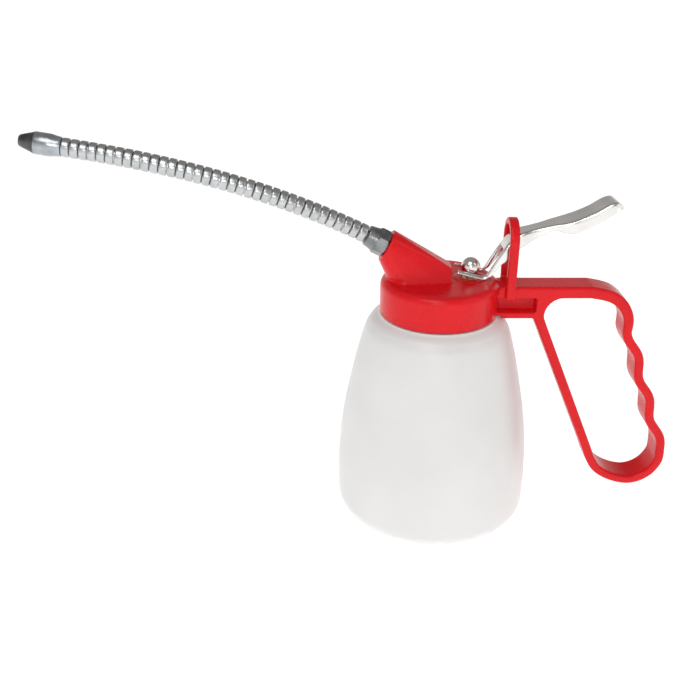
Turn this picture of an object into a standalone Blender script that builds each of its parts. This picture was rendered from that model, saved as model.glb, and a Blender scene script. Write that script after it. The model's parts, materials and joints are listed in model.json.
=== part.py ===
"""Plastic oil can: a bottle, a screw-on pump head with a D handle and thumb lever, and a flexible spout.

The origin is the centre of the bottle's flat base. +Z is up, the spout points to -X and the handle to +X.
"""

import math

import bmesh
import bpy
from mathutils import Matrix, Vector

MM = 0.001

# Fits
GAP = 0.3 * MM
OVERRUN = 2.0 * MM
BURY = 0.5 * MM

# Bottle
BOTTLE_RADIUS = 46.0 * MM
BOTTLE_WALL = 1.4 * MM
BASE_CORNER = 9.5 * MM
SHOULDER_HEIGHT = 102.4 * MM
FOOT_RECESS = 0.8 * MM
FOOT_WIDTH = 6.0 * MM
BASE_LAND_RADIUS = 8.0 * MM
COLLAR_STEP = 0.3 * MM
COLLAR_HEIGHT = 1.4 * MM
NECK_RADIUS = 23.2 * MM
NECK_WALL = 1.5 * MM
NECK_HEIGHT = 12.6 * MM
BELL_SHARES = (
    (1.0, 0.20), (0.993, 0.31), (0.970, 0.43), (0.932, 0.55), (0.880, 0.67), (0.822, 0.79), (0.770, 0.88),
)
SHOULDER_SHARES = ((0.725, 0.945), (0.668, 0.985))
BOTTLE_SIDES = 32

# Thread of neck and cap
THREAD_PITCH = 5.0 * MM
THREAD_DEPTH = 1.2 * MM
THREAD_ROOT = 1.7 * MM
THREAD_TIP = 0.8 * MM
THREAD_PLAY = 0.8 * MM
THREAD_FADE_STEPS = 3
NECK_THREAD_LIFT = 4.4 * MM
NECK_TURNS = 1.1
CAP_TURNS = 1.0

# Cap
CAP_WALL = 1.8 * MM
CAP_TOP_WALL = 2.2 * MM
CAP_EDGE = 3.4 * MM
CAP_LIP = 0.5 * MM
SEAL_THICKNESS = 1.3 * MM

# Pump
PUMP_PLAY = 0.8 * MM
BARREL_RADIUS = 5.6 * MM
BARREL_WALL = 1.1 * MM
BARREL_LENGTH = 55.0 * MM
SOCKET_WALL = 1.1 * MM
SOCKET_DEPTH = 8.5 * MM
SOCKET_ROOF = 0.8 * MM
GLAND_BOSS_RADIUS = 7.2 * MM
GLAND_BOSS_HEIGHT = 0.4 * MM
GLAND_RADIUS = 4.1 * MM
GLAND_DEPTH = 2.6 * MM
ROD_RADIUS = 1.8 * MM
ROD_THREAD = 3.0 * MM
O_RING_WIRE = 1.1 * MM
SPRING_WIRE = 1.0 * MM
SPRING_TURNS = 6.0
SPRING_STEPS = 10
SPRING_CORNERS = 5
PISTON_RISE = 16.8 * MM
PISTON_LENGTH = 11.0 * MM
PISTON_SEAL_LENGTH = 2.6 * MM
PISTON_SEAL_WALL = 1.0 * MM
VALVE_BALL_RADIUS = 1.5 * MM
VALVE_PASSAGE_RADIUS = 1.0 * MM
VALVE_ROOM = 2.0 * MM
FOOT_VALVE_LENGTH = 7.5 * MM
FOOT_FLANGE = 2.6 * MM
SPIGOT_LENGTH = 5.5 * MM
SPIGOT_RADIUS = 2.0 * MM
STOP_THICKNESS = 1.2 * MM
DIP_WALL = 0.9 * MM
DIP_BOTTOM = 6.5 * MM
STRAINER_WALL = 0.7 * MM
STRAINER_LENGTH = 8.0 * MM
STRAINER_SLOT = 1.0 * MM
PORT_RADIUS = 1.3 * MM
PORT_DROP = 2.8 * MM

# Spout boss and nut
SPOUT_FACE_REACH = 24.6 * MM
SPOUT_FACE_RISE = 15.7 * MM
SPOUT_BOSS_RADIUS = 7.5 * MM
SPOUT_BOSS_ANGLE = math.radians(28.0)
HOOD_FRONT = 22.5 * MM
HOOD_HALF_WIDTH = 9.5 * MM
HOOD_BACK = 5.0 * MM
HOOD_BACK_RISE = 5.8 * MM
HOOD_BACK_HALF = 4.5 * MM
NUT_BORE_RADIUS = 4.0 * MM
NUT_BORE_DEPTH = 8.0 * MM
OUTLET_RADIUS = 2.3 * MM
OUTLET_DEPTH = 16.0 * MM
NUT_FLATS = 11.0 * MM
NUT_LENGTH = 5.2 * MM
NUT_COLLAR_RADIUS = 4.8 * MM
NUT_COLLAR_LENGTH = 4.6 * MM
NUT_STUB = 5.6 * MM
SPOUT_SEAL_THICKNESS = 1.2 * MM

# Flexible spout
LINK_COUNT = 12
RINGS_PER_LINK = 3
RING_PITCH = 3.8 * MM
RING_RADIUS = 4.15 * MM
GROOVE_RADIUS = 3.65 * MM
JOINT_GAP = 0.7 * MM
LINK_NECK_RADIUS = 2.85 * MM
LINK_NECK_LENGTH = 1.8 * MM
LINK_SOCKET_PLAY = 0.45 * MM
SPOUT_BORE_RADIUS = 2.3 * MM
SPOUT_ROOT_ANGLE = math.radians(25.5)
SPOUT_TIP_ANGLE = math.radians(9.4)
SPOUT_CURVE_POWER = 1.25
LINK_SIDES = 12

# Nozzle tip
TIP_BARREL_RADIUS = 4.9 * MM
TIP_BARREL_LENGTH = 9.5 * MM
TIP_CONE_LENGTH = 6.5 * MM
TIP_SHOULDER_LENGTH = 2.0 * MM
TIP_END_RADIUS = 2.4 * MM
TIP_HOLE_RADIUS = 1.0 * MM

# Arm and handle. Points are (distance past the cap's wall, drop under the arm's middle line).
ARM_HALF_WIDTH = 7.1 * MM
ARM_THICKNESS = 5.5 * MM
BAND_THICKNESS = 4.3 * MM
BAND_CHAMFER = 1.0 * MM
ARM_DROP = 5.1 * MM
ARM_BITE = 1.5 * MM
ARM_STRAIGHT = 41.9 * MM
ARM_CORNER = ((48.7 * MM, 1.4 * MM), (53.2 * MM, 3.3 * MM), (57.5 * MM, 7.3 * MM), (60.2 * MM, 13.2 * MM))
GRIP_TOP = (61.3 * MM, 19.7 * MM)
GRIP_BOTTOM = (85.9 * MM, 84.6 * MM)
GRIP_WAVE = 1.2 * MM
GRIP_WAVE_PITCH = 23.6 * MM
GRIP_WAVE_START = 8.2 * MM
GRIP_STEPS = 24
LOOP_BOTTOM = (
    (85.0 * MM, 89.4 * MM),
    (82.2 * MM, 94.8 * MM),
    (78.1 * MM, 98.4 * MM),
    (72.6 * MM, 100.4 * MM),
    (66.3 * MM, 99.8 * MM),
    (59.5 * MM, 97.1 * MM),
    (54.5 * MM, 93.3 * MM),
    (51.2 * MM, 88.0 * MM),
)
STRUT_BOTTOM = (49.3 * MM, 83.3 * MM)
STRUT_TOP = (20.3 * MM, 16.2 * MM)
STRUT_REACH = 5.5 * MM
CORNER_CENTRE = (29.6 * MM, 11.1 * MM)
CORNER_RADIUS = 8.6 * MM
POCKET_LENGTH = 17.0 * MM
WEB_HALF = 1.6 * MM
LOWER_FLANGE_DROP = 12.4 * MM
LOWER_FLANGE = 2.8 * MM
COLLAR_RELIEF = 0.8 * MM

# Arch
ARCH_OFFSET = 4.4 * MM
ARCH_THICKNESS = 4.2 * MM
ARCH_OVERHANG = 2.4 * MM
ARCH_WALL = 3.0 * MM
ARCH_RISE = 12.5 * MM
PIVOT_RISE = 20.9 * MM
PIN_RADIUS = 1.2 * MM
PIN_HEAD_DEPTH = 0.6 * MM
PIN_BLIND = 1.2 * MM
LEVER_HOLE_PLAY = 0.25 * MM

# Lever
SHEET = 1.2 * MM
KNOB_REST = 0.2 * MM
TINE = 1.8 * MM
FORK_FLARE = 0.4 * MM
PLATE_FRONT = 6.4 * MM
PLATE_FRONT_LIFT = 5.0 * MM
PLATE_REAR = 3.6 * MM
PLATE_REAR_LIFT = 2.3 * MM
PLATE_LIP = 0.3 * MM
CREST_OFFSET = 3.4 * MM
CREST_RISE = 6.6 * MM
LEVER_LENGTH = 44.5 * MM
LEVER_RISE = 14.4 * MM
LEVER_FLANGE = 5.6 * MM
LEVER_SIDE_PLAY = 0.9 * MM
WAIST_HALF = 5.0 * MM
THUMB_HALF = 7.0 * MM
# From the plate to the crest: shares of that run, of its rise and of the flange.
RISER_SHARES = (
    (0.098, -0.015, 0.0), (0.162, 0.020, 0.0), (0.214, 0.086, 0.40), (0.376, 0.350, 0.57),
    (0.566, 0.629, 0.92), (0.688, 0.787, 1.0), (0.832, 0.918, 1.0), (1.0, 1.0, 1.0),
)
# From the crest to the thumb end: shares of the length, the rise, the widening and the flange.
THUMB_SHARES = (
    (0.094, 0.090, 0.0, 0.79), (0.207, 0.188, 0.0, 0.61), (0.319, 0.285, 0.4, 0.47),
    (0.454, 0.382, 1.0, 0.95), (0.578, 0.521, 1.0, 0.95), (0.701, 0.701, 1.0, 0.93),
    (0.813, 0.917, 1.0, 0.88), (0.892, 1.0, 0.9, 0.80), (0.937, 0.951, 0.2, 0.50),
    (0.980, 0.840, -0.6, 0.0), (1.0, 0.729, -1.0, 0.0),
)

# Sides of round pieces
FINE_SIDES = 24
SMALL_SIDES = 16

# Sizes that follow from those above
NECK_BORE = NECK_RADIUS - NECK_WALL
CAP_BORE = NECK_RADIUS + THREAD_DEPTH + THREAD_PLAY
CAP_RADIUS = CAP_BORE + CAP_WALL
COLLAR_RADIUS = CAP_RADIUS + COLLAR_STEP
SOCKET_BORE = BARREL_RADIUS + GAP
PUMP_X = NECK_BORE - PUMP_PLAY - SOCKET_WALL - SOCKET_BORE
COLLAR_TOP = SHOULDER_HEIGHT + COLLAR_HEIGHT
NECK_TOP = COLLAR_TOP + NECK_HEIGHT
CEILING = NECK_TOP + GAP + SEAL_THICKNESS + GAP
CAP_TOP = CEILING + CAP_TOP_WALL
CAP_RIM = COLLAR_TOP + GAP
GLAND_TOP = CAP_TOP + GLAND_BOSS_HEIGHT
GLAND_FLOOR = GLAND_TOP - GLAND_DEPTH
SOCKET_TOP = CEILING - SOCKET_ROOF
SOCKET_BOTTOM = SOCKET_TOP - SOCKET_DEPTH
BARREL_TOP = SOCKET_TOP - GAP
BARREL_BOTTOM = BARREL_TOP - BARREL_LENGTH
BARREL_BORE = BARREL_RADIUS - BARREL_WALL
PORT_Z = BARREL_TOP - PORT_DROP
PISTON_Z = BARREL_BOTTOM + PISTON_RISE
PISTON_TOP = PISTON_Z + PISTON_LENGTH
PISTON_RADIUS = BARREL_BORE - GAP - GAP / 2
SPOUT_OUT = Vector((-math.cos(SPOUT_BOSS_ANGLE), 0, math.sin(SPOUT_BOSS_ANGLE)))
SPOUT_FACE = Vector((-SPOUT_FACE_REACH, 0, CAP_TOP + SPOUT_FACE_RISE))
LINK_LENGTH = RINGS_PER_LINK * RING_PITCH
ARM_Z = CAP_TOP - ARM_DROP
ARM_START_X = CAP_RADIUS - ARM_BITE
LOWER_FLANGE_Z = ARM_Z - LOWER_FLANGE_DROP
POCKET_END_X = CAP_RADIUS + POCKET_LENGTH
ARCH_X = CAP_RADIUS + ARCH_OFFSET
ARCH_HALF_DEPTH = ARM_HALF_WIDTH + ARCH_OVERHANG
HINGE_HALF = ARCH_HALF_DEPTH - ARCH_WALL - LEVER_SIDE_PLAY
FORK_HALF = HINGE_HALF + FORK_FLARE
SLOT_HALF = FORK_HALF - TINE
KNOB_RADIUS = SLOT_HALF + KNOB_REST
PIVOT_Z = ARM_Z + PIVOT_RISE
ARCH_TOP_Z = PIVOT_Z + ARCH_RISE
PIVOT = Vector((ARCH_X, 0, PIVOT_Z))
PLATE_TIP = Vector((PUMP_X - PLATE_FRONT, GLAND_TOP + PLATE_FRONT_LIFT))
PLATE_BACK = Vector((PUMP_X + PLATE_REAR, GLAND_TOP + PLATE_REAR_LIFT))
CREST = Vector((ARCH_X + CREST_OFFSET, PIVOT_Z + CREST_RISE))
PLATE_SLOPE = (PLATE_TIP - PLATE_BACK).y / (PLATE_BACK - PLATE_TIP).x
PLATE_ANGLE = math.atan(PLATE_SLOPE)
KNOB_STANDOFF = math.sqrt(KNOB_RADIUS**2 - SLOT_HALF**2) + GAP
KNOB_Z = PLATE_BACK.y + (PLATE_BACK.x - PUMP_X) * PLATE_SLOPE + KNOB_STANDOFF / math.cos(PLATE_ANGLE)


def clear_scene():
    for obj in list(bpy.data.objects):
        bpy.data.objects.remove(obj, do_unlink=True)


def material(name, colour, roughness, metallic=0.0, transmission=0.0):
    """A Principled material, made once for each name."""
    found = bpy.data.materials.get(name)
    if found:
        return found
    made = bpy.data.materials.new(name)
    made.use_nodes = True
    shader = made.node_tree.nodes["Principled BSDF"]
    shader.inputs["Base Color"].default_value = (*colour, 1.0)
    shader.inputs["Roughness"].default_value = roughness
    shader.inputs["Metallic"].default_value = metallic
    shader.inputs["Transmission Weight"].default_value = transmission
    return made


def red_plastic():
    return material("red_plastic", (0.62, 0.02, 0.03), 0.28)


def bottle_plastic():
    return material("bottle_plastic", (0.9, 0.9, 0.88), 0.4, transmission=0.3)


def zinc_steel():
    return material("zinc_steel", (0.62, 0.63, 0.64), 0.3, 1.0)


def dark_zinc():
    return material("dark_zinc", (0.22, 0.25, 0.25), 0.4, 1.0)


def brass():
    return material("brass", (0.75, 0.58, 0.25), 0.3, 1.0)


def rubber():
    return material("rubber", (0.02, 0.02, 0.02), 0.7)


def clear_tube():
    return material("clear_tube", (0.85, 0.87, 0.85), 0.35, transmission=0.4)


def finish(bm, name, surface, matrix=None):
    """Turns a closed bmesh into a smooth-shaded object."""
    bmesh.ops.recalc_face_normals(bm, faces=bm.faces)
    mesh = bpy.data.meshes.new(name)
    bm.to_mesh(mesh)
    bm.free()
    mesh.materials.append(surface)
    mesh.shade_smooth()
    mesh.set_sharp_from_angle(angle=math.radians(35))
    obj = bpy.data.objects.new(name, mesh)
    bpy.context.scene.collection.objects.link(obj)
    if matrix is not None:
        obj.matrix_world = matrix
    return obj


def helper(obj):
    """Hides an object that only serves a Boolean."""
    obj.hide_render = True
    obj.display_type = "WIRE"
    return obj


def boolean(target, other, operation, solver="EXACT"):
    modifier = target.modifiers.new(operation.lower(), "BOOLEAN")
    modifier.operation = operation
    modifier.solver = solver
    modifier.object = helper(other)


def join(target, *others):
    for other in others:
        boolean(target, other, "UNION")


def cut(target, *others):
    for other in others:
        boolean(target, other, "DIFFERENCE")


def weld(target, *others):
    """Joins pieces with flush faces, where the exact solver leaves open edges."""
    for other in others:
        boolean(target, other, "UNION", "MANIFOLD")


def drill(target, *others):
    """Cuts bores where the exact solver leaves open edges, at these sizes or at others."""
    for other in others:
        boolean(target, other, "DIFFERENCE", "MANIFOLD")


def turned(name, outline, sides, surface, matrix=None):
    """A closed outline of (radius, height) points turned about Z. A point at radius 0 lies on the axis."""
    bm = bmesh.new()
    columns = []
    for radius, height in outline:
        if radius == 0:
            columns.append([bm.verts.new((0, 0, height))] * sides)
            continue
        column = []
        for side in range(sides):
            angle = 2 * math.pi * side / sides
            column.append(bm.verts.new((radius * math.cos(angle), radius * math.sin(angle), height)))
        columns.append(column)
    for first, second in zip(columns, columns[1:] + columns[:1]):
        for side in range(sides):
            after = (side + 1) % sides
            corners = [first[side], first[after], second[after], second[side]]
            corners = list(dict.fromkeys(corners))
            if len(corners) > 2:
                bm.faces.new(corners)
    return finish(bm, name, surface, matrix)


def rod(name, radius, low, high, sides, surface, matrix=None):
    return turned(name, ((0, low), (radius, low), (radius, high), (0, high)), sides, surface, matrix)


def tube(name, outer, inner, low, high, sides, surface, matrix=None):
    return turned(name, ((inner, low), (outer, low), (outer, high), (inner, high)), sides, surface, matrix)


def swept(name, loops, surface, closed=False):
    """Bridges loops with the same number of points, and caps the two ends unless the sweep is closed."""
    bm = bmesh.new()
    rows = [[bm.verts.new(point) for point in loop] for loop in loops]
    pairs = list(zip(rows, rows[1:]))
    if closed:
        pairs.append((rows[-1], rows[0]))
    for first, second in pairs:
        for i in range(len(first)):
            j = (i + 1) % len(first)
            bm.faces.new((first[i], first[j], second[j], second[i]))
    if not closed:
        bm.faces.new(rows[0])
        bm.faces.new(list(reversed(rows[-1])))
    return finish(bm, name, surface)


def slab(name, outline, low, high, surface):
    """An outline of (x, z) points extruded along Y."""
    return swept(name, [[(x, y, z) for x, z in outline] for y in (low, high)], surface)


def smooth_path(points, steps):
    """Points on a Catmull-Rom curve through the given ones."""
    points = [Vector(point) for point in points]
    ends = [2 * points[0] - points[1]] + points + [2 * points[-1] - points[-2]]
    path = []
    for a, b, c, d in zip(ends, ends[1:], ends[2:], ends[3:]):
        for step in range(steps):
            t = step / steps
            path.append(
                (2 * b + (c - a) * t + (2 * a - 5 * b + 4 * c - d) * t**2 + (3 * b - 3 * c + d - a) * t**3) / 2
            )
    return path + [points[-1]]


def arc(centre_a, centre_b, radius, start, end, steps):
    """Points on an arc about a centre, in degrees."""
    made = []
    for step in range(steps + 1):
        angle = math.radians(start + (end - start) * step / steps)
        made.append((centre_a + radius * math.cos(angle), centre_b + radius * math.sin(angle)))
    return made


def along(origin, direction):
    """A matrix whose local +Z is the direction, local +Y is the world's Y, and origin is the point."""
    z = direction.normalized()
    y = Vector((0, 1, 0))
    x = y.cross(z)
    return Matrix.Translation(origin) @ Matrix((x, y, z)).transposed().to_4x4()


def pump_place():
    return Matrix.Translation((PUMP_X, 0, 0))


def set_origin(obj, point):
    """Moves an object's origin and leaves its shape where it is."""
    obj.data.transform(Matrix.Translation(-point))
    obj.matrix_world = Matrix.Translation(point)
    return obj


def past_cap(points):
    """Handle points (distance past the cap, drop under the arm) as (x, z)."""
    return [Vector((CAP_RADIUS + run, ARM_Z - drop)) for run, drop in points]


def helix_ridge(name, wall_radius, tip_radius, start, turns, surface):
    """A thread ridge of tapered section that starts and ends by sinking into its wall."""
    inward = 1 if tip_radius > wall_radius else -1
    root = wall_radius - inward * BURY
    steps = round(turns * BOTTLE_SIDES)
    loops = []
    for step in range(steps + 1):
        angle = 2 * math.pi * step / BOTTLE_SIDES
        fade = min(1.0, step / THREAD_FADE_STEPS, (steps - step) / THREAD_FADE_STEPS)
        tip = wall_radius - inward * BURY / 2 + (tip_radius - wall_radius + inward * BURY / 2) * fade
        z = start + THREAD_PITCH * step / BOTTLE_SIDES
        across = Vector((math.cos(angle), math.sin(angle), 0))
        loops.append(
            [
                across * root + Vector((0, 0, z - THREAD_ROOT / 2)),
                across * tip + Vector((0, 0, z - THREAD_TIP / 2)),
                across * tip + Vector((0, 0, z + THREAD_TIP / 2)),
                across * root + Vector((0, 0, z + THREAD_ROOT / 2)),
            ]
        )
    return swept(name, loops, surface)


def bottle_side(inset, steps):
    """The bottle's side from the base corner to the shoulder, drawn in by the wall."""
    radius = BOTTLE_RADIUS - inset
    corner = BASE_CORNER - inset
    low = arc(BOTTLE_RADIUS - BASE_CORNER, BASE_CORNER, corner, -90, 0, 2 * steps)
    bell = [(BOTTLE_RADIUS * r - inset, SHOULDER_HEIGHT * z) for r, z in BELL_SHARES]
    shoulder = [(BOTTLE_RADIUS * r - inset, SHOULDER_HEIGHT * z - inset / 2) for r, z in SHOULDER_SHARES]
    curve = smooth_path([(radius, BASE_CORNER)] + bell + shoulder, steps)
    return low + [tuple(point) for point in curve[1:]]


def make_bottle():
    foot = BOTTLE_RADIUS - BASE_CORNER
    outer = [
        (0, 0),
        (BASE_LAND_RADIUS, 0),
        (BASE_LAND_RADIUS + FOOT_RECESS, FOOT_RECESS),
        (foot - FOOT_WIDTH, FOOT_RECESS),
        (foot - FOOT_WIDTH + FOOT_RECESS, 0),
    ]
    outer += bottle_side(0, 2)
    outer += [
        (COLLAR_RADIUS, SHOULDER_HEIGHT),
        (COLLAR_RADIUS, COLLAR_TOP),
        (NECK_RADIUS, COLLAR_TOP),
        (NECK_RADIUS, NECK_TOP),
        (NECK_BORE, NECK_TOP),
        (NECK_BORE, SHOULDER_HEIGHT - BOTTLE_WALL),
    ]
    inner = list(reversed(bottle_side(BOTTLE_WALL, 1)))
    floor = FOOT_RECESS + BOTTLE_WALL
    inner = [point for point in inner if point[1] > floor]
    inner += [(foot - FOOT_WIDTH, floor), (0, floor)]
    bottle = turned("bottle", outer + inner, BOTTLE_SIDES, bottle_plastic())
    ridge = helix_ridge(
        "neck_thread_ridge", NECK_RADIUS, NECK_RADIUS + THREAD_DEPTH, COLLAR_TOP + NECK_THREAD_LIFT, NECK_TURNS,
        bottle_plastic(),
    )
    join(bottle, ridge)
    return bottle


def make_bottle_seal():
    low = NECK_TOP + GAP
    return tube("bottle_seal", CAP_BORE - GAP, NECK_BORE, low, low + SEAL_THICKNESS, BOTTLE_SIDES, rubber())


def cap_blank():
    outline = [(0, CAP_RIM), (CAP_RADIUS - CAP_LIP, CAP_RIM), (CAP_RADIUS, CAP_RIM + CAP_LIP)]
    outline += arc(CAP_RADIUS - CAP_EDGE, CAP_TOP - CAP_EDGE, CAP_EDGE, 0, 90, 4)
    outline += [(0, CAP_TOP)]
    return turned("head", outline, BOTTLE_SIDES, red_plastic())


def spout_hood():
    """The wedge that carries the spout: the hull of its round end and its long foot on the cap."""
    bm = bmesh.new()
    place = along(SPOUT_FACE, SPOUT_OUT)
    for side in range(FINE_SIDES):
        angle = 2 * math.pi * side / FINE_SIDES
        rim = Vector((SPOUT_BOSS_RADIUS * math.cos(angle), SPOUT_BOSS_RADIUS * math.sin(angle), 0))
        bm.verts.new(place @ rim)
    foot_z = CAP_TOP - CAP_EDGE
    for x, y in arc(HOOD_HALF_WIDTH - HOOD_FRONT, 0, HOOD_HALF_WIDTH, 60, 300, 8):
        bm.verts.new((x, y, foot_z))
    for side in (-1, 1):
        bm.verts.new((HOOD_BACK, side * SPOUT_BOSS_RADIUS, foot_z))
        bm.verts.new((HOOD_BACK, side * HOOD_BACK_HALF, CAP_TOP + HOOD_BACK_RISE))
    bmesh.ops.convex_hull(bm, input=bm.verts)
    return finish(bm, "spout_hood", red_plastic())


def outlet_line():
    """Start and end of the narrow passage from the spout bore to the pump barrel."""
    start = SPOUT_FACE - SPOUT_OUT * (OUTLET_DEPTH - OVERRUN)
    end = Vector((PUMP_X - BARREL_RADIUS, 0, PORT_Z))
    return start, end


def band_half(z):
    """Half the band's thickness, which grows from the grip's top up to the arm."""
    share = min(1, max(0, 1 - (ARM_Z - z) / GRIP_TOP[1]))
    return (BAND_THICKNESS + (ARM_THICKNESS - BAND_THICKNESS) * share) / 2


def band_loops(path):
    """Chamfered sections of the band along a path of (x, z) points."""
    width = ARM_HALF_WIDTH
    c = BAND_CHAMFER
    loops = []
    for i, point in enumerate(path):
        ahead = path[min(i + 1, len(path) - 1)] - path[max(i - 1, 0)]
        ahead.normalize()
        side = Vector((ahead.y, -ahead.x))
        half = band_half(point.y)
        shape = (
            (-half, -width + c), (-half + c, -width), (half - c, -width), (half, -width + c),
            (half, width - c), (half - c, width), (-half + c, width), (-half, width - c),
        )
        loops.append([(point.x + side.x * n, y, point.y + side.y * n) for n, y in shape])
    return loops


def handle_path():
    """The middle line of the band: arm, corner, wavy grip, bottom, and strut up to inside the corner block."""
    grip_top, grip_bottom, strut_top, strut_bottom = past_cap((GRIP_TOP, GRIP_BOTTOM, STRUT_TOP, STRUT_BOTTOM))
    strut_end = strut_top + (strut_top - strut_bottom).normalized() * STRUT_REACH
    run = grip_bottom - grip_top
    across = Vector((-run.y, run.x)).normalized()
    grip = []
    for step in range(GRIP_STEPS + 1):
        s = run.length * step / GRIP_STEPS
        wave = GRIP_WAVE * math.sin(2 * math.pi * (s - GRIP_WAVE_START) / GRIP_WAVE_PITCH)
        grip.append(grip_top + run * (step / GRIP_STEPS) + across * wave)
    arm = smooth_path(past_cap(((ARM_STRAIGHT, 0), *ARM_CORNER)) + grip[:1], 2)[:-1]
    bottom = smooth_path(grip[-1:] + past_cap((*LOOP_BOTTOM, STRUT_BOTTOM)), 2)[1:]
    return [Vector((ARM_START_X, ARM_Z))] + arm + grip + bottom + [strut_top, strut_end]


def corner_block():
    """The full-width block where strut, arm and lower flange meet, with its round inner corner."""
    strut_top, strut_bottom, centre = past_cap((STRUT_TOP, STRUT_BOTTOM, CORNER_CENTRE))
    run = strut_bottom - strut_top
    tangent = math.degrees(math.atan2(-run.x, -run.y))
    corner = arc(centre.x, centre.y, CORNER_RADIUS, 180 - tangent, 90, 6)
    side = Vector((run.y, -run.x)).normalized() * (BAND_THICKNESS - BAND_CHAMFER) / 2
    low = strut_top + side
    inner = strut_top - side
    outline = [(POCKET_END_X, LOWER_FLANGE_Z), (low.x, low.y), (inner.x, inner.y)] + corner
    outline += [(centre.x, ARM_Z), (POCKET_END_X, ARM_Z)]
    return slab("corner_block", outline, -ARM_HALF_WIDTH, ARM_HALF_WIDTH, red_plastic())


def box_outline(x0, z0, x1, z1):
    return ((x0, z0), (x1, z0), (x1, z1), (x0, z1))


def make_arch():
    """The hoop that carries the lever's pivot, with its window open along X."""
    foot = ARM_Z - ARM_THICKNESS / 2 + BURY
    outer = ARCH_HALF_DEPTH
    inner = outer - ARCH_WALL
    spring_z = ARCH_TOP_Z - outer
    outline = [(outer, foot)]
    outline += arc(0, spring_z, outer, 0, 180, 12)
    outline += [(-outer, foot), (-inner, foot)]
    outline += list(reversed(arc(0, spring_z, inner, 0, 180, 10)))
    outline += [(inner, foot)]
    low = ARCH_X - ARCH_THICKNESS / 2
    high = ARCH_X + ARCH_THICKNESS / 2
    return swept("arch", [[(x, y, z) for y, z in outline] for x in (low, high)], red_plastic())


def across_y(name, x, z, radius, low, high, sides, surface):
    """A round bar along Y."""
    place = Matrix.Translation((x, 0, z)) @ Matrix.Rotation(-math.pi / 2, 4, "X")
    return rod(name, radius, low, high, sides, surface, place)


def make_head():
    head = cap_blank()
    red = red_plastic()
    place = pump_place()
    weld(head, spout_hood())
    weld(head, rod("gland_boss", GLAND_BOSS_RADIUS, CEILING, GLAND_TOP, FINE_SIDES, red, place))
    arm_low = ARM_Z - ARM_THICKNESS / 2
    weld(head, swept("handle_band", band_loops(handle_path()), red))
    weld(head, corner_block())
    flange_top = LOWER_FLANGE_Z + LOWER_FLANGE
    notch_x = COLLAR_RADIUS + COLLAR_RELIEF
    notch_z = CAP_RIM + GAP
    lower = (
        (notch_x, LOWER_FLANGE_Z), (POCKET_END_X + BURY, LOWER_FLANGE_Z), (POCKET_END_X + BURY, flange_top),
        (ARM_START_X, flange_top), (ARM_START_X, notch_z), (notch_x, notch_z),
    )
    weld(head, slab("lower_flange", lower, -ARM_HALF_WIDTH, ARM_HALF_WIDTH, red))
    web = box_outline(ARM_START_X, flange_top - BURY, POCKET_END_X + 2 * BURY, arm_low + BURY)
    weld(head, slab("arm_web", web, -WEB_HALF, WEB_HALF, red))
    weld(head, make_arch())
    drill(head, rod("cap_hollow", CAP_BORE, CAP_RIM - OVERRUN, CEILING, BOTTLE_SIDES, red))
    ridge = helix_ridge(
        "cap_thread_ridge", CAP_BORE, CAP_BORE - THREAD_DEPTH, COLLAR_TOP + NECK_THREAD_LIFT - THREAD_PITCH / 2,
        CAP_TURNS, red,
    )
    weld(head, ridge)
    socket = SOCKET_BORE + SOCKET_WALL
    weld(head, rod("barrel_socket", socket, SOCKET_BOTTOM, CEILING + BURY, FINE_SIDES, red, place))
    start, end = outlet_line()
    duct = along(start, end - start)
    length = (end - start).length
    duct_start = length / 2
    weld(head, rod("outlet_duct", PORT_RADIUS + SOCKET_WALL, duct_start, length, SMALL_SIDES, red, duct))
    drill(head, rod("barrel_bore", SOCKET_BORE, SOCKET_BOTTOM - OVERRUN, SOCKET_TOP, FINE_SIDES, red, place))
    drill(head, rod("gland_bore", GLAND_RADIUS, GLAND_FLOOR, GLAND_TOP + OVERRUN, FINE_SIDES, red, place))
    rod_hole = ROD_RADIUS + GAP
    drill(head, rod("rod_hole", rod_hole, SOCKET_TOP - OVERRUN, GLAND_TOP, SMALL_SIDES, red, place))
    spout = along(SPOUT_FACE, SPOUT_OUT)
    drill(head, rod("nut_bore", NUT_BORE_RADIUS, -NUT_BORE_DEPTH, OVERRUN, FINE_SIDES, red, spout))
    drill(head, rod("outlet_bore", OUTLET_RADIUS, -OUTLET_DEPTH, 0, SMALL_SIDES, red, spout))
    drill(head, rod("outlet_passage", PORT_RADIUS, 0, length + OVERRUN, SMALL_SIDES, red, duct))
    hole = PIN_RADIUS + GAP
    blind = PIN_BLIND - ARCH_HALF_DEPTH
    past = ARCH_HALF_DEPTH + OVERRUN
    drill(head, across_y("pin_hole", ARCH_X, PIVOT_Z, hole, blind, past, SMALL_SIDES, red))
    return head


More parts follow.
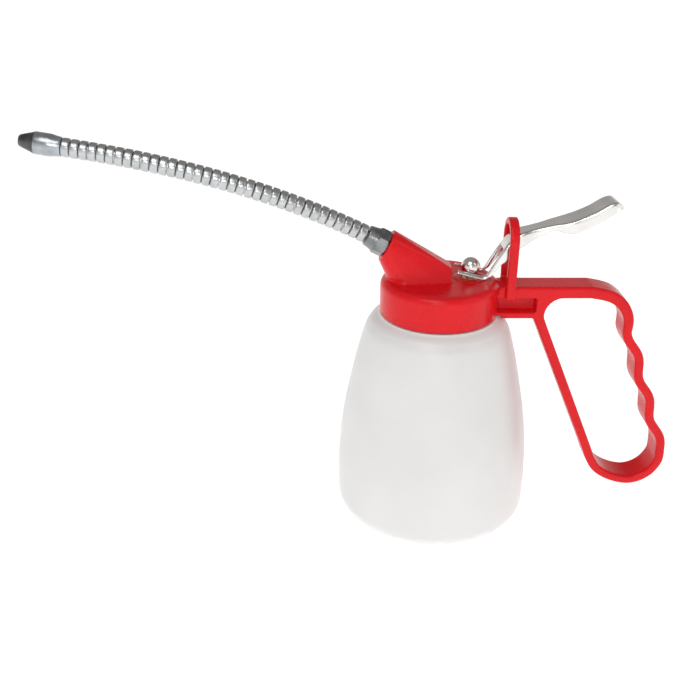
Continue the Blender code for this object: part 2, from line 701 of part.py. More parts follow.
def make_pump():
    """The pump that hangs under the cap, from the barrel down to the strainer."""
    place = pump_place()
    clear = clear_tube()
    barrel = tube("pump_barrel", BARREL_RADIUS, BARREL_BORE, BARREL_BOTTOM, BARREL_TOP, FINE_SIDES, clear, place)
    start, end = outlet_line()
    duct = along(start, end - start)
    port = (end - start).length
    past = port + BARREL_WALL + OVERRUN
    drill(barrel, rod("barrel_port", PORT_RADIUS, port - OVERRUN, past, SMALL_SIDES, clear, duct))

    seat_z = BARREL_BOTTOM - GAP
    inner = BARREL_BORE - GAP
    seat_top = seat_z + FOOT_VALVE_LENGTH - FOOT_FLANGE
    ball_room = VALVE_BALL_RADIUS + GAP
    seat_floor = seat_top - VALVE_BALL_RADIUS - VALVE_ROOM / 2
    outline = (
        (VALVE_PASSAGE_RADIUS, seat_z - FOOT_FLANGE - SPIGOT_LENGTH),
        (SPIGOT_RADIUS, seat_z - FOOT_FLANGE - SPIGOT_LENGTH),
        (SPIGOT_RADIUS, seat_z - FOOT_FLANGE),
        (BARREL_RADIUS, seat_z - FOOT_FLANGE),
        (BARREL_RADIUS, seat_z),
        (inner, seat_z),
        (inner, seat_top),
        (ball_room, seat_top),
        (ball_room, seat_floor),
        (VALVE_PASSAGE_RADIUS, seat_floor),
    )
    turned("foot_valve_seat", outline, SMALL_SIDES, brass(), place)
    ball("foot_ball", VALVE_BALL_RADIUS, Vector((PUMP_X, 0, seat_floor + GAP + VALVE_BALL_RADIUS)))
    stop_low = seat_floor + 2 * VALVE_BALL_RADIUS + VALVE_ROOM + GAP
    tube("valve_stop", inner, VALVE_PASSAGE_RADIUS, stop_low, stop_low + STOP_THICKNESS, SMALL_SIDES, brass(), place)

    dip_inner = SPIGOT_RADIUS + GAP
    dip_outer = dip_inner + DIP_WALL
    dip_top = seat_z - FOOT_FLANGE - GAP
    tube("dip_tube", dip_outer, dip_inner, DIP_BOTTOM, dip_top, SMALL_SIDES, clear, place)
    sieve_inner = dip_outer + GAP
    sieve_outer = sieve_inner + STRAINER_WALL
    low = DIP_BOTTOM - GAP - STRAINER_WALL
    sieve = turned(
        "strainer",
        (
            (0, low), (sieve_outer, low), (sieve_outer, low + STRAINER_LENGTH), (sieve_inner, low + STRAINER_LENGTH),
            (sieve_inner, low + STRAINER_WALL), (0, low + STRAINER_WALL),
        ),
        SMALL_SIDES, brass(), place,
    )
    slot = STRAINER_SLOT / 2
    for x, y in ((slot, sieve_outer + OVERRUN), (sieve_outer + OVERRUN, slot)):
        outline = box_outline(PUMP_X - x, low - OVERRUN, PUMP_X + x, low + STRAINER_LENGTH / 2)
        cut(sieve, slab("strainer_slot", outline, -y, y, brass()))


def ball(name, radius, centre, surface=None, matrix=None):
    """A turned ball."""
    outline = [(0, -radius)] + arc(0, 0, radius, -90, 90, 8)[1:-1] + [(0, radius)]
    place = matrix if matrix is not None else Matrix.Translation(centre)
    return turned(name, outline, SMALL_SIDES, surface or zinc_steel(), place)


def o_ring(name, inner, wire, z, place):
    centre = inner + wire / 2
    outline = arc(centre, z + wire / 2, wire / 2, 0, 315, 7)
    return turned(name, outline, FINE_SIDES, rubber(), place)


def make_plunger():
    """The rod with its knob and piston, and the gland that guides it."""
    place = pump_place()
    rod_low = PISTON_TOP - ROD_THREAD
    rod_high = KNOB_Z - GAP
    rod("plunger_rod", ROD_RADIUS, rod_low, rod_high, SMALL_SIDES, zinc_steel(), place)
    hole = ROD_RADIUS + GAP
    cut_angle = math.degrees(math.acos(hole / KNOB_RADIUS))
    outline = [(hole, KNOB_Z)] + arc(0, KNOB_Z, KNOB_RADIUS, -cut_angle, 90, 9)[:-1]
    outline += [(0, KNOB_Z + KNOB_RADIUS), (0, KNOB_Z)]
    turned("plunger_knob", outline, SMALL_SIDES, zinc_steel(), place)

    o_ring("rod_seal", ROD_RADIUS + GAP, O_RING_WIRE, GLAND_FLOOR + GAP, place)
    bush_low = GLAND_FLOOR + GAP + O_RING_WIRE + GAP
    tube("gland_bush", GLAND_RADIUS - GAP, hole, bush_low, GLAND_TOP, FINE_SIDES, brass(), place)

    groove_top = PISTON_Z + PISTON_SEAL_LENGTH + GAP
    groove = PISTON_RADIUS - PISTON_SEAL_WALL
    room = VALVE_BALL_RADIUS + GAP
    room_floor = groove_top
    room_top = room_floor + 2 * VALVE_BALL_RADIUS + VALVE_ROOM / 2
    outline = (
        (VALVE_PASSAGE_RADIUS, PISTON_Z), (groove, PISTON_Z), (groove, groove_top), (PISTON_RADIUS, groove_top),
        (PISTON_RADIUS, PISTON_TOP), (hole, PISTON_TOP), (hole, rod_low - GAP), (0, rod_low - GAP),
        (0, room_top), (room, room_top), (room, room_floor), (VALVE_PASSAGE_RADIUS, room_floor),
    )
    piston = turned("piston", outline, FINE_SIDES, brass(), place)
    slot = VALVE_PASSAGE_RADIUS
    window = box_outline(PUMP_X - slot, room_floor + VALVE_BALL_RADIUS, PUMP_X + slot, room_top)
    drill(piston, slab("piston_window", window, -BARREL_RADIUS, BARREL_RADIUS, brass()))
    ball("piston_ball", VALVE_BALL_RADIUS, Vector((PUMP_X, 0, room_floor + GAP + VALVE_BALL_RADIUS)))
    seal_inner = groove + GAP
    seal = (
        (seal_inner, PISTON_Z), (PISTON_RADIUS, PISTON_Z), (BARREL_BORE - GAP, groove_top - 2 * GAP),
        (seal_inner, groove_top - GAP),
    )
    turned("piston_seal", seal, FINE_SIDES, rubber(), place)


def make_spring():
    """The return spring between the piston and the roof of the barrel."""
    low = PISTON_TOP + GAP + SPRING_WIRE / 2
    high = SOCKET_TOP - GAP - SPRING_WIRE / 2
    radius = (PISTON_RADIUS + ROD_RADIUS + SPRING_WIRE / 2) / 2
    steps = round(SPRING_TURNS * SPRING_STEPS)
    loops = []
    for step in range(steps + 1):
        angle = 2 * math.pi * step / SPRING_STEPS
        across = Vector((math.cos(angle), math.sin(angle), 0))
        centre = Vector((PUMP_X, 0, low + (high - low) * step / steps)) + across * radius
        loop = []
        for corner in range(SPRING_CORNERS):
            turn = 2 * math.pi * corner / SPRING_CORNERS
            loop.append(centre + (across * math.cos(turn) + Vector((0, 0, math.sin(turn)))) * SPRING_WIRE / 2)
        loops.append(loop)
    return set_origin(swept("return_spring", loops, zinc_steel()), Vector((PUMP_X, 0, 0)))


def make_lever_pin():
    low = PIN_BLIND - ARCH_HALF_DEPTH + GAP
    high = ARCH_HALF_DEPTH - PIN_HEAD_DEPTH
    return across_y("lever_pin", ARCH_X, PIVOT_Z, PIN_RADIUS, low, high, SMALL_SIDES, zinc_steel())


def lever_stations():
    """The lever's top line as (x, z, half width, flange depth), from the fork's tip to the thumb end."""
    slim = SHEET + PLATE_LIP
    run = CREST - PLATE_BACK
    stations = [(point.x, point.y, FORK_HALF, slim) for point in (PLATE_TIP, PLATE_BACK)]
    for ahead, up, flange in RISER_SHARES:
        half = HINGE_HALF if flange == 1 else FORK_HALF
        x = PLATE_BACK.x + run.x * ahead
        stations.append((x, PLATE_BACK.y + run.y * up, half, max(slim, LEVER_FLANGE * flange)))
    for ahead, up, wide, flange in THUMB_SHARES:
        half = WAIST_HALF + (THUMB_HALF - WAIST_HALF) * wide
        x = CREST.x + LEVER_LENGTH * ahead
        stations.append((x, CREST.y + LEVER_RISE * up, half, max(slim, LEVER_FLANGE * flange)))
    return stations


def make_lever():
    """A pressed channel: sheet on top, a flange down each side, and a long slot in the forked front."""
    stations = lever_stations()
    points = [Vector((x, z)) for x, z, _, _ in stations]
    loops = []
    for i, (_, _, half, depth) in enumerate(stations):
        ahead = (points[min(i + 1, len(points) - 1)] - points[max(i - 1, 0)]).normalized()
        down = Vector((ahead.y, -ahead.x))
        shape = (
            (-half, depth), (-half, 0), (half, 0), (half, depth),
            (half - SHEET, depth), (half - SHEET, SHEET), (-half + SHEET, SHEET), (-half + SHEET, depth),
        )
        loops.append([(points[i].x + down.x * d, y, points[i].y + down.y * d) for y, d in shape])
    lever = set_origin(swept("lever", loops, zinc_steel()), PIVOT)
    deep = 3 * SHEET
    back, foot, top = points[1], points[3], points[6]
    slot = (
        (PLATE_TIP.x - OVERRUN, PLATE_TIP.y + deep),
        (PLATE_TIP.x - OVERRUN, PLATE_TIP.y - deep),
        (back.x, back.y - deep),
        (foot.x + deep, foot.y - deep),
        (top.x + deep, top.y - SHEET),
        (top.x - deep, top.y + SHEET),
        (foot.x - deep, foot.y + deep),
    )
    cut(lever, slab("fork_slot", slot, -SLOT_HALF, SLOT_HALF, zinc_steel()))
    hole = PIN_RADIUS + LEVER_HOLE_PLAY
    reach = ARCH_HALF_DEPTH
    cut(lever, across_y("lever_hole", ARCH_X, PIVOT_Z, hole, -reach, reach, SMALL_SIDES, zinc_steel()))
    return lever


def make_spout_fittings():
    """The nut with its collar and the neck of the first joint, its seal, and the outlet valve's ball."""
    place = along(SPOUT_FACE, SPOUT_OUT)
    hexagon = NUT_FLATS / math.sqrt(3)
    collar_end = GAP + NUT_LENGTH + NUT_COLLAR_LENGTH
    neck_end = collar_end + JOINT_GAP / 2 + LINK_NECK_LENGTH
    chamfer = (hexagon - NUT_FLATS / 2) / 2
    nut = turned(
        "spout_nut",
        (
            (SPOUT_BORE_RADIUS, GAP), (hexagon - chamfer, GAP), (hexagon, GAP + chamfer),
            (hexagon, GAP + NUT_LENGTH - chamfer), (hexagon - chamfer, GAP + NUT_LENGTH),
            (SPOUT_BORE_RADIUS, GAP + NUT_LENGTH),
        ),
        6, dark_zinc(), place,
    )
    collar = turned(
        "nut_collar",
        (
            (SPOUT_BORE_RADIUS, -NUT_STUB), (NUT_BORE_RADIUS - GAP, -NUT_STUB), (NUT_BORE_RADIUS - GAP, GAP + BURY),
            (NUT_COLLAR_RADIUS, GAP + BURY), (NUT_COLLAR_RADIUS, collar_end - CAP_LIP),
            (NUT_COLLAR_RADIUS - CAP_LIP, collar_end), (LINK_NECK_RADIUS, collar_end), (LINK_NECK_RADIUS, neck_end),
            (SPOUT_BORE_RADIUS, neck_end),
        ),
        LINK_SIDES, dark_zinc(), place,
    )
    join(nut, collar)
    seal_low = -NUT_BORE_DEPTH + GAP
    seal_high = seal_low + SPOUT_SEAL_THICKNESS
    seal_outer = NUT_BORE_RADIUS - GAP
    tube("spout_seal", seal_outer, VALVE_PASSAGE_RADIUS, seal_low, seal_high, SMALL_SIDES, rubber(), place)
    ball_place = along(SPOUT_FACE - SPOUT_OUT * (OUTLET_DEPTH - GAP - VALVE_BALL_RADIUS), SPOUT_OUT)
    ball("outlet_ball", VALVE_BALL_RADIUS, None, matrix=ball_place)
    return SPOUT_FACE + SPOUT_OUT * (collar_end + JOINT_GAP / 2)


def link_outline():
    """One link: three rounded rings, a socket at its start and a neck at its end."""
    half_gap = JOINT_GAP / 2
    outline = []
    for ring in range(RINGS_PER_LINK):
        low = max(ring * RING_PITCH, half_gap)
        high = min((ring + 1) * RING_PITCH, LINK_LENGTH - half_gap)
        shoulder = (high - low) / 4
        outline += [(GROOVE_RADIUS, low), (RING_RADIUS, low + shoulder), (RING_RADIUS, high - shoulder)]
    outline.append((GROOVE_RADIUS, LINK_LENGTH - half_gap))
    end = LINK_LENGTH + LINK_NECK_LENGTH
    socket = LINK_NECK_RADIUS + LINK_SOCKET_PLAY
    socket_floor = half_gap + LINK_NECK_LENGTH + LINK_SOCKET_PLAY
    outline += [
        (LINK_NECK_RADIUS, LINK_LENGTH - half_gap), (LINK_NECK_RADIUS, end), (SPOUT_BORE_RADIUS, end),
        (SPOUT_BORE_RADIUS, socket_floor), (socket, socket_floor), (socket, half_gap),
    ]
    return outline


def make_spout(start):
    """The chain of links along the spout's gentle curve, and the tip on the last one."""
    at = start
    for i in range(LINK_COUNT):
        share = 1 - i / (LINK_COUNT - 1)
        angle = SPOUT_TIP_ANGLE + (SPOUT_ROOT_ANGLE - SPOUT_TIP_ANGLE) * share**SPOUT_CURVE_POWER
        direction = Vector((-math.cos(angle), 0, math.sin(angle)))
        place = along(at, direction)
        turned(f"spout_link_{i + 1:02d}", link_outline(), LINK_SIDES, zinc_steel(), place)
        at = at + direction * LINK_LENGTH
    socket = LINK_NECK_RADIUS + GAP
    low = -JOINT_GAP / 2 + GAP
    barrel = low + TIP_SHOULDER_LENGTH
    cone = barrel + TIP_BARREL_LENGTH
    end = cone + TIP_CONE_LENGTH
    depth = LINK_NECK_LENGTH + GAP
    outline = (
        (socket, low), (GROOVE_RADIUS, low), (TIP_BARREL_RADIUS, barrel), (TIP_BARREL_RADIUS, cone),
        (TIP_END_RADIUS, end), (TIP_HOLE_RADIUS, end), (TIP_HOLE_RADIUS, depth), (socket, depth),
    )
    turned("nozzle_tip", outline, FINE_SIDES, dark_zinc(), along(at, direction))


def main():
    clear_scene()
    make_bottle()
    make_bottle_seal()
    make_head()
    make_pump()
    make_plunger()
    make_spring()
    make_lever_pin()
    make_lever()
    make_spout(make_spout_fittings())


main()
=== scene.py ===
import json
import math

import bmesh
import bpy
from mathutils import Matrix, Vector

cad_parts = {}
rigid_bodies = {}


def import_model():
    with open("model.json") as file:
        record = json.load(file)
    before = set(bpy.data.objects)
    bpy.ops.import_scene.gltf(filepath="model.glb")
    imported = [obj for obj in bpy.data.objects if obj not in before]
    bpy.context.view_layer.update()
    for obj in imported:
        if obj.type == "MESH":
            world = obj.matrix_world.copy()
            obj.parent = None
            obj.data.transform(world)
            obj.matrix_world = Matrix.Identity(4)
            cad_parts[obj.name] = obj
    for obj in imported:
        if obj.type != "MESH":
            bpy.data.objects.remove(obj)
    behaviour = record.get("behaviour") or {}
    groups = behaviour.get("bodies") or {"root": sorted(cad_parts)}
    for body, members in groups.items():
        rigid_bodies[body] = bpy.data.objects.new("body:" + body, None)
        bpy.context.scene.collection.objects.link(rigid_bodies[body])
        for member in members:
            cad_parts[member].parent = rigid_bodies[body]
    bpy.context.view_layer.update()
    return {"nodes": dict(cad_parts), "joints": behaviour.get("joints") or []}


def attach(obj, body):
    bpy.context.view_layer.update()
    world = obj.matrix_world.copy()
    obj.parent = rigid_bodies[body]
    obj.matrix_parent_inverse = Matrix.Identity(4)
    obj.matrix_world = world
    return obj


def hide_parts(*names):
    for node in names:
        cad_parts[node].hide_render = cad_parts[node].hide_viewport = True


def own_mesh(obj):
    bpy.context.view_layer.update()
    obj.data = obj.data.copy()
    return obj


for startup in list(bpy.data.objects):
    bpy.data.objects.remove(startup, do_unlink=True)
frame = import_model()

# Lengths are in millimetres where no comment says metres, and solid() turns them into metres.
# BURY is how far a shape reaches into the next, OVERRUN how far a cut passes its end, and FIT a clearance.
MM = 0.001
BURY = 0.5
OVERRUN = 2.0
FIT = 0.3

# Sides of round pieces, and steps along curves
ROUND = 128
MEDIUM_ROUND = 64
SMALL_ROUND = 48
PIN_ROUND = 32
CURVE_STEPS = 8
CORNER_STEPS = 12

# Bottle, with its side as (radius, height) shares, and the fillet under its collar as (out, down) points
BOTTLE_RADIUS = 46.0
BOTTLE_WALL = 1.4
BASE_CORNER = 9.5
SHOULDER = 102.4
FOOT_RECESS = 0.8
FOOT_WIDTH = 6.0
BASE_LAND = 8.0
COLLAR_RADIUS = 27.3
COLLAR_TOP = 103.8
NECK_RADIUS = 23.2
NECK_BORE = 21.7
NECK_TOP = 116.4
BELL_SHARES = (
    (1.0, 0.20), (0.993, 0.31), (0.970, 0.43), (0.932, 0.55), (0.880, 0.67), (0.822, 0.79), (0.770, 0.88),
)
SHOULDER_SHARES = ((0.725, 0.945), (0.668, 0.985))
FILLET_LINE = ((1.2, 1.35), (0.5, 0.95), (0.1, 0.5))
FILLET_REACH = 1.5
LIP_ROUND = 0.4
LIP_STEPS = 3

# Thread
PITCH = 5.0
THREAD_DEPTH = 1.2
THREAD_ROOT = 1.7
THREAD_TIP = 0.8
THREAD_RISE = 4.4
THREAD_START = COLLAR_TOP + THREAD_RISE
THREAD_FADE_STEPS = 12
NECK_TURNS = 1.1
CAP_TURNS = 1.0

# Cap and pump seats
CAP_RADIUS = 27.0
CAP_BORE = 25.2
CAP_RIM = 104.1
CAP_TOP = 120.5
CEILING = 118.3
CAP_EDGE = 3.4
CAP_BEVEL = 0.5
PUMP_X = 13.9
GLAND_TOP = 120.9
GLAND_FLOOR = 118.3
BUSH_LOW = 120.0
BUSH_BEVEL = 0.35
GLAND_RADIUS = 4.1
GLAND_BOSS = 7.2
ROD_RADIUS = 1.8
SOCKET_BORE = 5.9
SOCKET_RADIUS = 7.0
SOCKET_TOP = 117.5
SOCKET_BOTTOM = 109.0
PORT = Vector((8.3, 0, 114.4))
PORT_RADIUS = 1.3
PORT_WALL = 1.1

# Spout boss, with the sweep of the hood's round front in degrees
SPOUT_FACE = Vector((-24.6, 0, 136.2))
SPOUT_ANGLE = math.radians(28)
SPOUT_OUT = Vector((-math.cos(SPOUT_ANGLE), 0, math.sin(SPOUT_ANGLE)))
BOSS_RADIUS = 7.5
HOOD_FRONT = 22.5
HOOD_HALF = 9.5
HOOD_SWEEP = (60, 300)
HOOD_STEPS = 32
HOOD_BACK = 5.0
HOOD_BACK_RISE = 5.8
HOOD_BACK_HALF = 4.5
NUT_BORE = 4.0
NUT_BORE_DEPTH = 8.0
OUTLET_RADIUS = 2.3
OUTLET_DEPTH = 16.0

# Arm, handle and arch, with lines and corners as (x, z)
ARM_Z = 115.4
ARM_START = 25.5
ARM_HALF = 7.1
ARM_THICK = 5.5
BAND = 4.3
BAND_ROUND = 1.1
BAND_STEPS = 4
ARM_LINE = ((68.9, 115.4), (75.7, 114.0), (80.2, 112.1), (84.5, 108.1), (87.2, 102.2))
GRIP_TOP = Vector((88.3, 95.7))
GRIP_BOTTOM = Vector((112.9, 30.8))
GRIP_WAVE = 1.2
GRIP_WAVE_PITCH = 23.6
GRIP_WAVE_START = 8.2
GRIP_STEPS = 96
LOOP_LINE = (
    (112.0, 26.0), (109.2, 20.6), (105.1, 17.0), (99.6, 15.0), (93.3, 15.6), (86.5, 18.3), (81.5, 22.1),
    (78.2, 27.4), (76.3, 32.1),
)
STRUT_TOP = Vector((47.3, 99.2))
STRUT_REACH = 5.5
CORNER_CENTRE = Vector((56.6, 104.3))
CORNER_RADIUS = 8.6
BEND_STEPS = 24
POCKET_END = 44.0
WEB_HALF = 1.6
FLANGE_LOW = 103.0
FLANGE_TOP = 105.8
NOTCH = Vector((28.1, 104.4))
ARCH_X = 31.4
ARCH_THICKNESS = 4.2
ARCH_HALF = 9.5
ARCH_WALL = 3.0
ARCH_TOP = 148.8
ARCH_FOOT = 113.15
ARCH_STEPS = 48
ARCH_INNER_STEPS = 40
PIVOT_Z = 136.3
PIN_RADIUS = 1.2
PIN_HOLE_FIT = 0.15
PIN_HOLE_WALL = 1.2
PIN_LOW_INSET = 1.5
PIN_HIGH_INSET = 0.5
PIN_BEVEL = 0.3
SMOOTH_SHARE = 0.5
HEAD_VOXEL = 0.45
HEAD_PASSES = 5

# Lever, with the riser's shares as (ahead, up, flange) and the thumb piece's as (ahead, up, width, flange)
SHEET = 1.2
SLOT_HALF = 4.2
SLOT_DEEP = 3 * SHEET
FORK_HALF = 6.0
HINGE_HALF = 5.6
WAIST_HALF = 5.0
THUMB_HALF = 7.0
PLATE_TIP = Vector((7.5, 125.9))
PLATE_BACK = Vector((17.5, 123.2))
PLATE_STEPS = 10
CREST = Vector((34.8, 142.9))
LEVER_LENGTH = 44.5
LEVER_RISE = 14.4
LEVER_FLANGE = 5.6
PLATE_FLANGE = 1.5
LEVER_EDGE = 1.0
LEVER_EDGE_MIDDLE = 0.3
LEVER_HOLE_FIT = 0.25
RISER_SHARES = (
    (0.098, -0.015, 0.0), (0.162, 0.020, 0.0), (0.214, 0.086, 0.40), (0.376, 0.350, 0.57),
    (0.566, 0.629, 0.92), (0.688, 0.787, 1.0), (0.832, 0.918, 1.0), (1.0, 1.0, 1.0),
)
THUMB_SHARES = (
    (0.094, 0.090, 0.0, 0.79), (0.207, 0.188, 0.0, 0.61), (0.319, 0.285, 0.4, 0.47),
    (0.454, 0.382, 1.0, 0.95), (0.578, 0.521, 1.0, 0.95), (0.701, 0.701, 1.0, 0.93),
    (0.813, 0.917, 1.0, 0.88), (0.892, 1.0, 0.9, 0.80), (0.937, 0.951, 0.2, 0.50),
    (0.980, 0.840, -0.6, 0.0), (1.0, 0.729, -1.0, 0.0),
)
LEVER_VOXEL = 0.3
LEVER_PASSES = 4

# Knob, rod and spring
KNOB_RADIUS = 4.4
KNOB_Z = 125.84
KNOB_STEPS = 28
STEM_LOW = 87.0
SPRING_LOW = 90.3
SPRING_HIGH = 117.2
SPRING_WIRE = 1.0
SPRING_RADIUS = 3.175
SPRING_TURNS = 6
SPRING_TURN_STEPS = 24
WIRE_SIDES = 12

# Hose: rings of one pitch, and on each link a ball neck at its start and a socket or spigot at its end
RING_PITCH = 3.8
RING_SQUARENESS = 9
RING_CROWN = 0.09
LINK_LENGTH = 11.4
HOSE_RADIUS = 4.15
HOSE_GROOVE = 3.1
HOSE_BORE = 2.4
HOSE_BORE_START = 1.0
HOSE_END_CUT = 0.3
HOSE_FACE = 0.25
HOSE_BALL = 3.0
FIRST_BALL = 2.1
NECK_REACH_SHARE = 0.45
NECK_BORE_SHARE = 0.65
NECK_BORE_END = 0.5
NECK_STEPS = 6
HOSE_SOCKET = 3.12
HOSE_SOCKET_DEPTHS = (0.6, 1.2, 1.8)
HOSE_SOCKET_FLOOR = 2.0
HOSE_SPIGOT = 1.8
HOSE_AROUND = 48
HOSE_PER_RING = 14

# Nozzle, with its outer side as (radius, length)
TIP_ANGLE = math.radians(9.4)
TIP_CONE_START = 11.2
TIP_SIDE = (
    (4.05, 0.0), (4.2, 0.4), (4.35, 1.8), (4.65, 3.4), (4.85, 4.6), (4.9, 5.4), (4.9, TIP_CONE_START),
    (4.75, 11.5), (4.1, 13.2), (3.3, 15.6), (2.6, 17.5), (2.2, 18.0), (1.6, 18.0),
)
TIP_SEAT_RADIUS = 3.3
TIP_SEAT_DEPTH = 2.1
TIP_BORE = 1.0
TIP_BORE_END = 17.4

# Nut
NUT_SIDES = 6
NUT_FLATS = 11.0
NUT_LENGTH = 5.2
NUT_HOLE = 2.3
NUT_BEVEL = 0.7
NUT_BEVEL_LOW = 0.8
NUT_BEVEL_HIGH = 0.9
NUT_BEVEL_PROUD = 0.1
NUT_BEVEL_SIDES = 96
NUT_NECK = 3.7
NUT_NECK_DEPTH = 5.6
NUT_COLLAR_WIDE = 5.4
NUT_COLLAR_NARROW = 4.7
NUT_COLLAR_LENGTH = 4.6
NUT_COLLAR_SINK = 0.2
NUT_COLLAR_ROUND = 0.8
NUT_COLLAR_STEPS = 5

# Floor and sky, whose colour changes over a span of the direction's height
FLOOR_HALF = 9000
FLOOR_GLOW = 0.72
SKY_LOW = (1.0, 1.0, 1.0)
SKY_HIGH = (0.32, 0.305, 0.29)
SKY_SPAN = (0.0, 0.45)

# Lamps: name, place and size in metres, and power in watts. They point at one place, also in metres.
LAMPS = (
    ("key", (-0.25, -0.55, 0.95), 0.60, 2.1),
    ("spark", (-0.15, -0.60, 0.95), 0.10, 0.8),
    ("front", (-0.10, -0.95, 0.50), 0.30, 1.2),
    ("fill", (0.7, -0.35, 0.7), 0.4, 0.6),
)
LAMP_AIM = Vector((0, 0, 0.09))

# Camera: place in metres, lens and sensor in millimetres, and its tilt in degrees below the horizon
CAMERA_PLACE = (-0.0454, -0.37612, 0.26439)
CAMERA_LENS = 46.6
CAMERA_SENSOR = 36
CAMERA_DOWN = 25

# Noise: the range that most of a texture's values lie in, and the detail for each use
NOISE_RANGE = (0.3, 0.7)
COLOUR_DETAIL = 4
ROUGHNESS_DETAIL = 5
BUMP_DETAIL = 3


def material(name, metallic=0.0, **values):
    """A Principled material with its uniform values set on the shader's sockets."""
    made = bpy.data.materials.new(name)
    made.use_nodes = True
    shader = made.node_tree.nodes["Principled BSDF"]
    shader.inputs["Metallic"].default_value = metallic
    for socket, value in values.items():
        shader.inputs[socket.replace("_", " ")].default_value = value
    return made


def noise(tree, scale, detail):
    """A noise texture in the object's own coordinates; scale is per metre."""
    coords = tree.nodes.new("ShaderNodeTexCoord")
    texture = tree.nodes.new("ShaderNodeTexNoise")
    texture.inputs["Scale"].default_value = scale
    texture.inputs["Detail"].default_value = detail
    tree.links.new(coords.outputs["Object"], texture.inputs["Vector"])
    return texture.outputs["Fac"]


def ramp(tree, value, low, high, span=NOISE_RANGE):
    """Maps a span of a value onto a ramp between two colours."""
    node = tree.nodes.new("ShaderNodeValToRGB")
    first, last = node.color_ramp.elements
    first.position, last.position = span
    first.color, last.color = (*low, 1), (*high, 1)
    tree.links.new(value, node.inputs["Fac"])
    return node.outputs["Color"]


def spread(tree, value, low, high):
    """Maps a noise value onto a range of numbers."""
    node = tree.nodes.new("ShaderNodeMapRange")
    ends = zip(("From Min", "From Max", "To Min", "To Max"), (*NOISE_RANGE, low, high))
    for socket, number in ends:
        node.inputs[socket].default_value = number
    tree.links.new(value, node.inputs["Value"])
    return node.outputs["Result"]


def dress(made, tones, tone_scale, roughness, rough_scale, bumps):
    """Drives a material's colour, roughness and bump by noise.

    The tones and the roughness are (low, high), and a bump is (scale, height in mm). Scales are per metre.
    """
    tree = made.node_tree
    shader = tree.nodes["Principled BSDF"]
    colour = ramp(tree, noise(tree, tone_scale, COLOUR_DETAIL), *tones)
    tree.links.new(colour, shader.inputs["Base Color"])
    rough = spread(tree, noise(tree, rough_scale, ROUGHNESS_DETAIL), *roughness)
    tree.links.new(rough, shader.inputs["Roughness"])
    normal = None
    for scale, height in bumps:
        bump = tree.nodes.new("ShaderNodeBump")
        bump.inputs["Strength"].default_value = 1.0
        bump.inputs["Distance"].default_value = height * MM
        tree.links.new(noise(tree, scale, BUMP_DETAIL), bump.inputs["Height"])
        if normal:
            tree.links.new(normal, bump.inputs["Normal"])
        normal = bump.outputs["Normal"]
    tree.links.new(normal, shader.inputs["Normal"])
    return made


RED = dress(
    material("red_moulding", Specular_IOR_Level=0.22),
    tones=((0.64, 0.006, 0.011), (0.71, 0.009, 0.015)), tone_scale=60,
    roughness=(0.20, 0.32), rough_scale=180, bumps=((900, 0.012), (90, 0.05)),
)
BOTTLE = dress(
    material(
        "milky_bottle", Subsurface_Weight=0.4, Subsurface_Scale=0.004, Subsurface_Radius=(1, 1, 1), IOR=1.5,
    ),
    tones=((0.73, 0.73, 0.725), (0.79, 0.79, 0.787)), tone_scale=25,
    roughness=(0.28, 0.38), rough_scale=120, bumps=((700, 0.015), (60, 0.10)),
)
ZINC = dress(
    material("bright_zinc", metallic=1.0),
    tones=((0.68, 0.67, 0.655), (0.76, 0.75, 0.74)), tone_scale=130,
    roughness=(0.14, 0.24), rough_scale=420, bumps=((1500, 0.002), (160, 0.02)),
)
HOSE = dress(
    material("hose_zinc", metallic=1.0),
    tones=((0.44, 0.455, 0.465), (0.55, 0.565, 0.575)), tone_scale=200,
    roughness=(0.24, 0.34), rough_scale=500, bumps=((1500, 0.003), (300, 0.02)),
)
DARK = dress(
    material("dark_zinc_plate", metallic=1.0),
    tones=((0.16, 0.165, 0.165), (0.30, 0.31, 0.315)), tone_scale=220,
    roughness=(0.24, 0.38), rough_scale=500, bumps=((1400, 0.005), (300, 0.02)),
)
TIP_BARREL = dress(
    material("tip_zinc", metallic=1.0),
    tones=((0.32, 0.35, 0.37), (0.46, 0.50, 0.53)), tone_scale=220,
    roughness=(0.20, 0.34), rough_scale=500, bumps=((1400, 0.005), (300, 0.02)),
)
TIP_CONE = dress(
    material("tip_dark_plate", metallic=1.0),
    tones=((0.08, 0.085, 0.085), (0.15, 0.16, 0.16)), tone_scale=220,
    roughness=(0.28, 0.42), rough_scale=500, bumps=((1400, 0.005), (300, 0.02)),
)
BRASS = dress(
    material("turned_brass", metallic=1.0),
    tones=((0.66, 0.47, 0.20), (0.78, 0.60, 0.30)), tone_scale=200,
    roughness=(0.22, 0.36), rough_scale=500, bumps=((1400, 0.01),),
)
RUBBER = dress(
    material("black_rubber"),
    tones=((0.015, 0.015, 0.015), (0.035, 0.035, 0.035)), tone_scale=200,
    roughness=(0.55, 0.75), rough_scale=500, bumps=((1200, 0.03),),
)
TUBE = dress(
    material("milky_tube", Transmission_Weight=0.4, Subsurface_Weight=0.3, Subsurface_Scale=0.003),
    tones=((0.82, 0.84, 0.82), (0.88, 0.89, 0.88)), tone_scale=80,
    roughness=(0.25, 0.4), rough_scale=300, bumps=((900, 0.01),),
)
PALE = dress(
    material("pale_floor", Emission_Color=(1, 1, 1, 1), Emission_Strength=FLOOR_GLOW),
    tones=((0.80, 0.80, 0.80), (0.84, 0.84, 0.84)), tone_scale=2,
    roughness=(0.7, 0.8), rough_scale=8, bumps=((40, 0.02),),
)
NODE_SURFACES = {
    "bottle_seal": RUBBER, "rod_seal": RUBBER, "piston_seal": RUBBER, "spout_seal": RUBBER,
    "pump_barrel": TUBE, "dip_tube": TUBE,
    "foot_valve_seat": BRASS, "valve_stop": BRASS, "strainer": BRASS, "piston": BRASS,
}


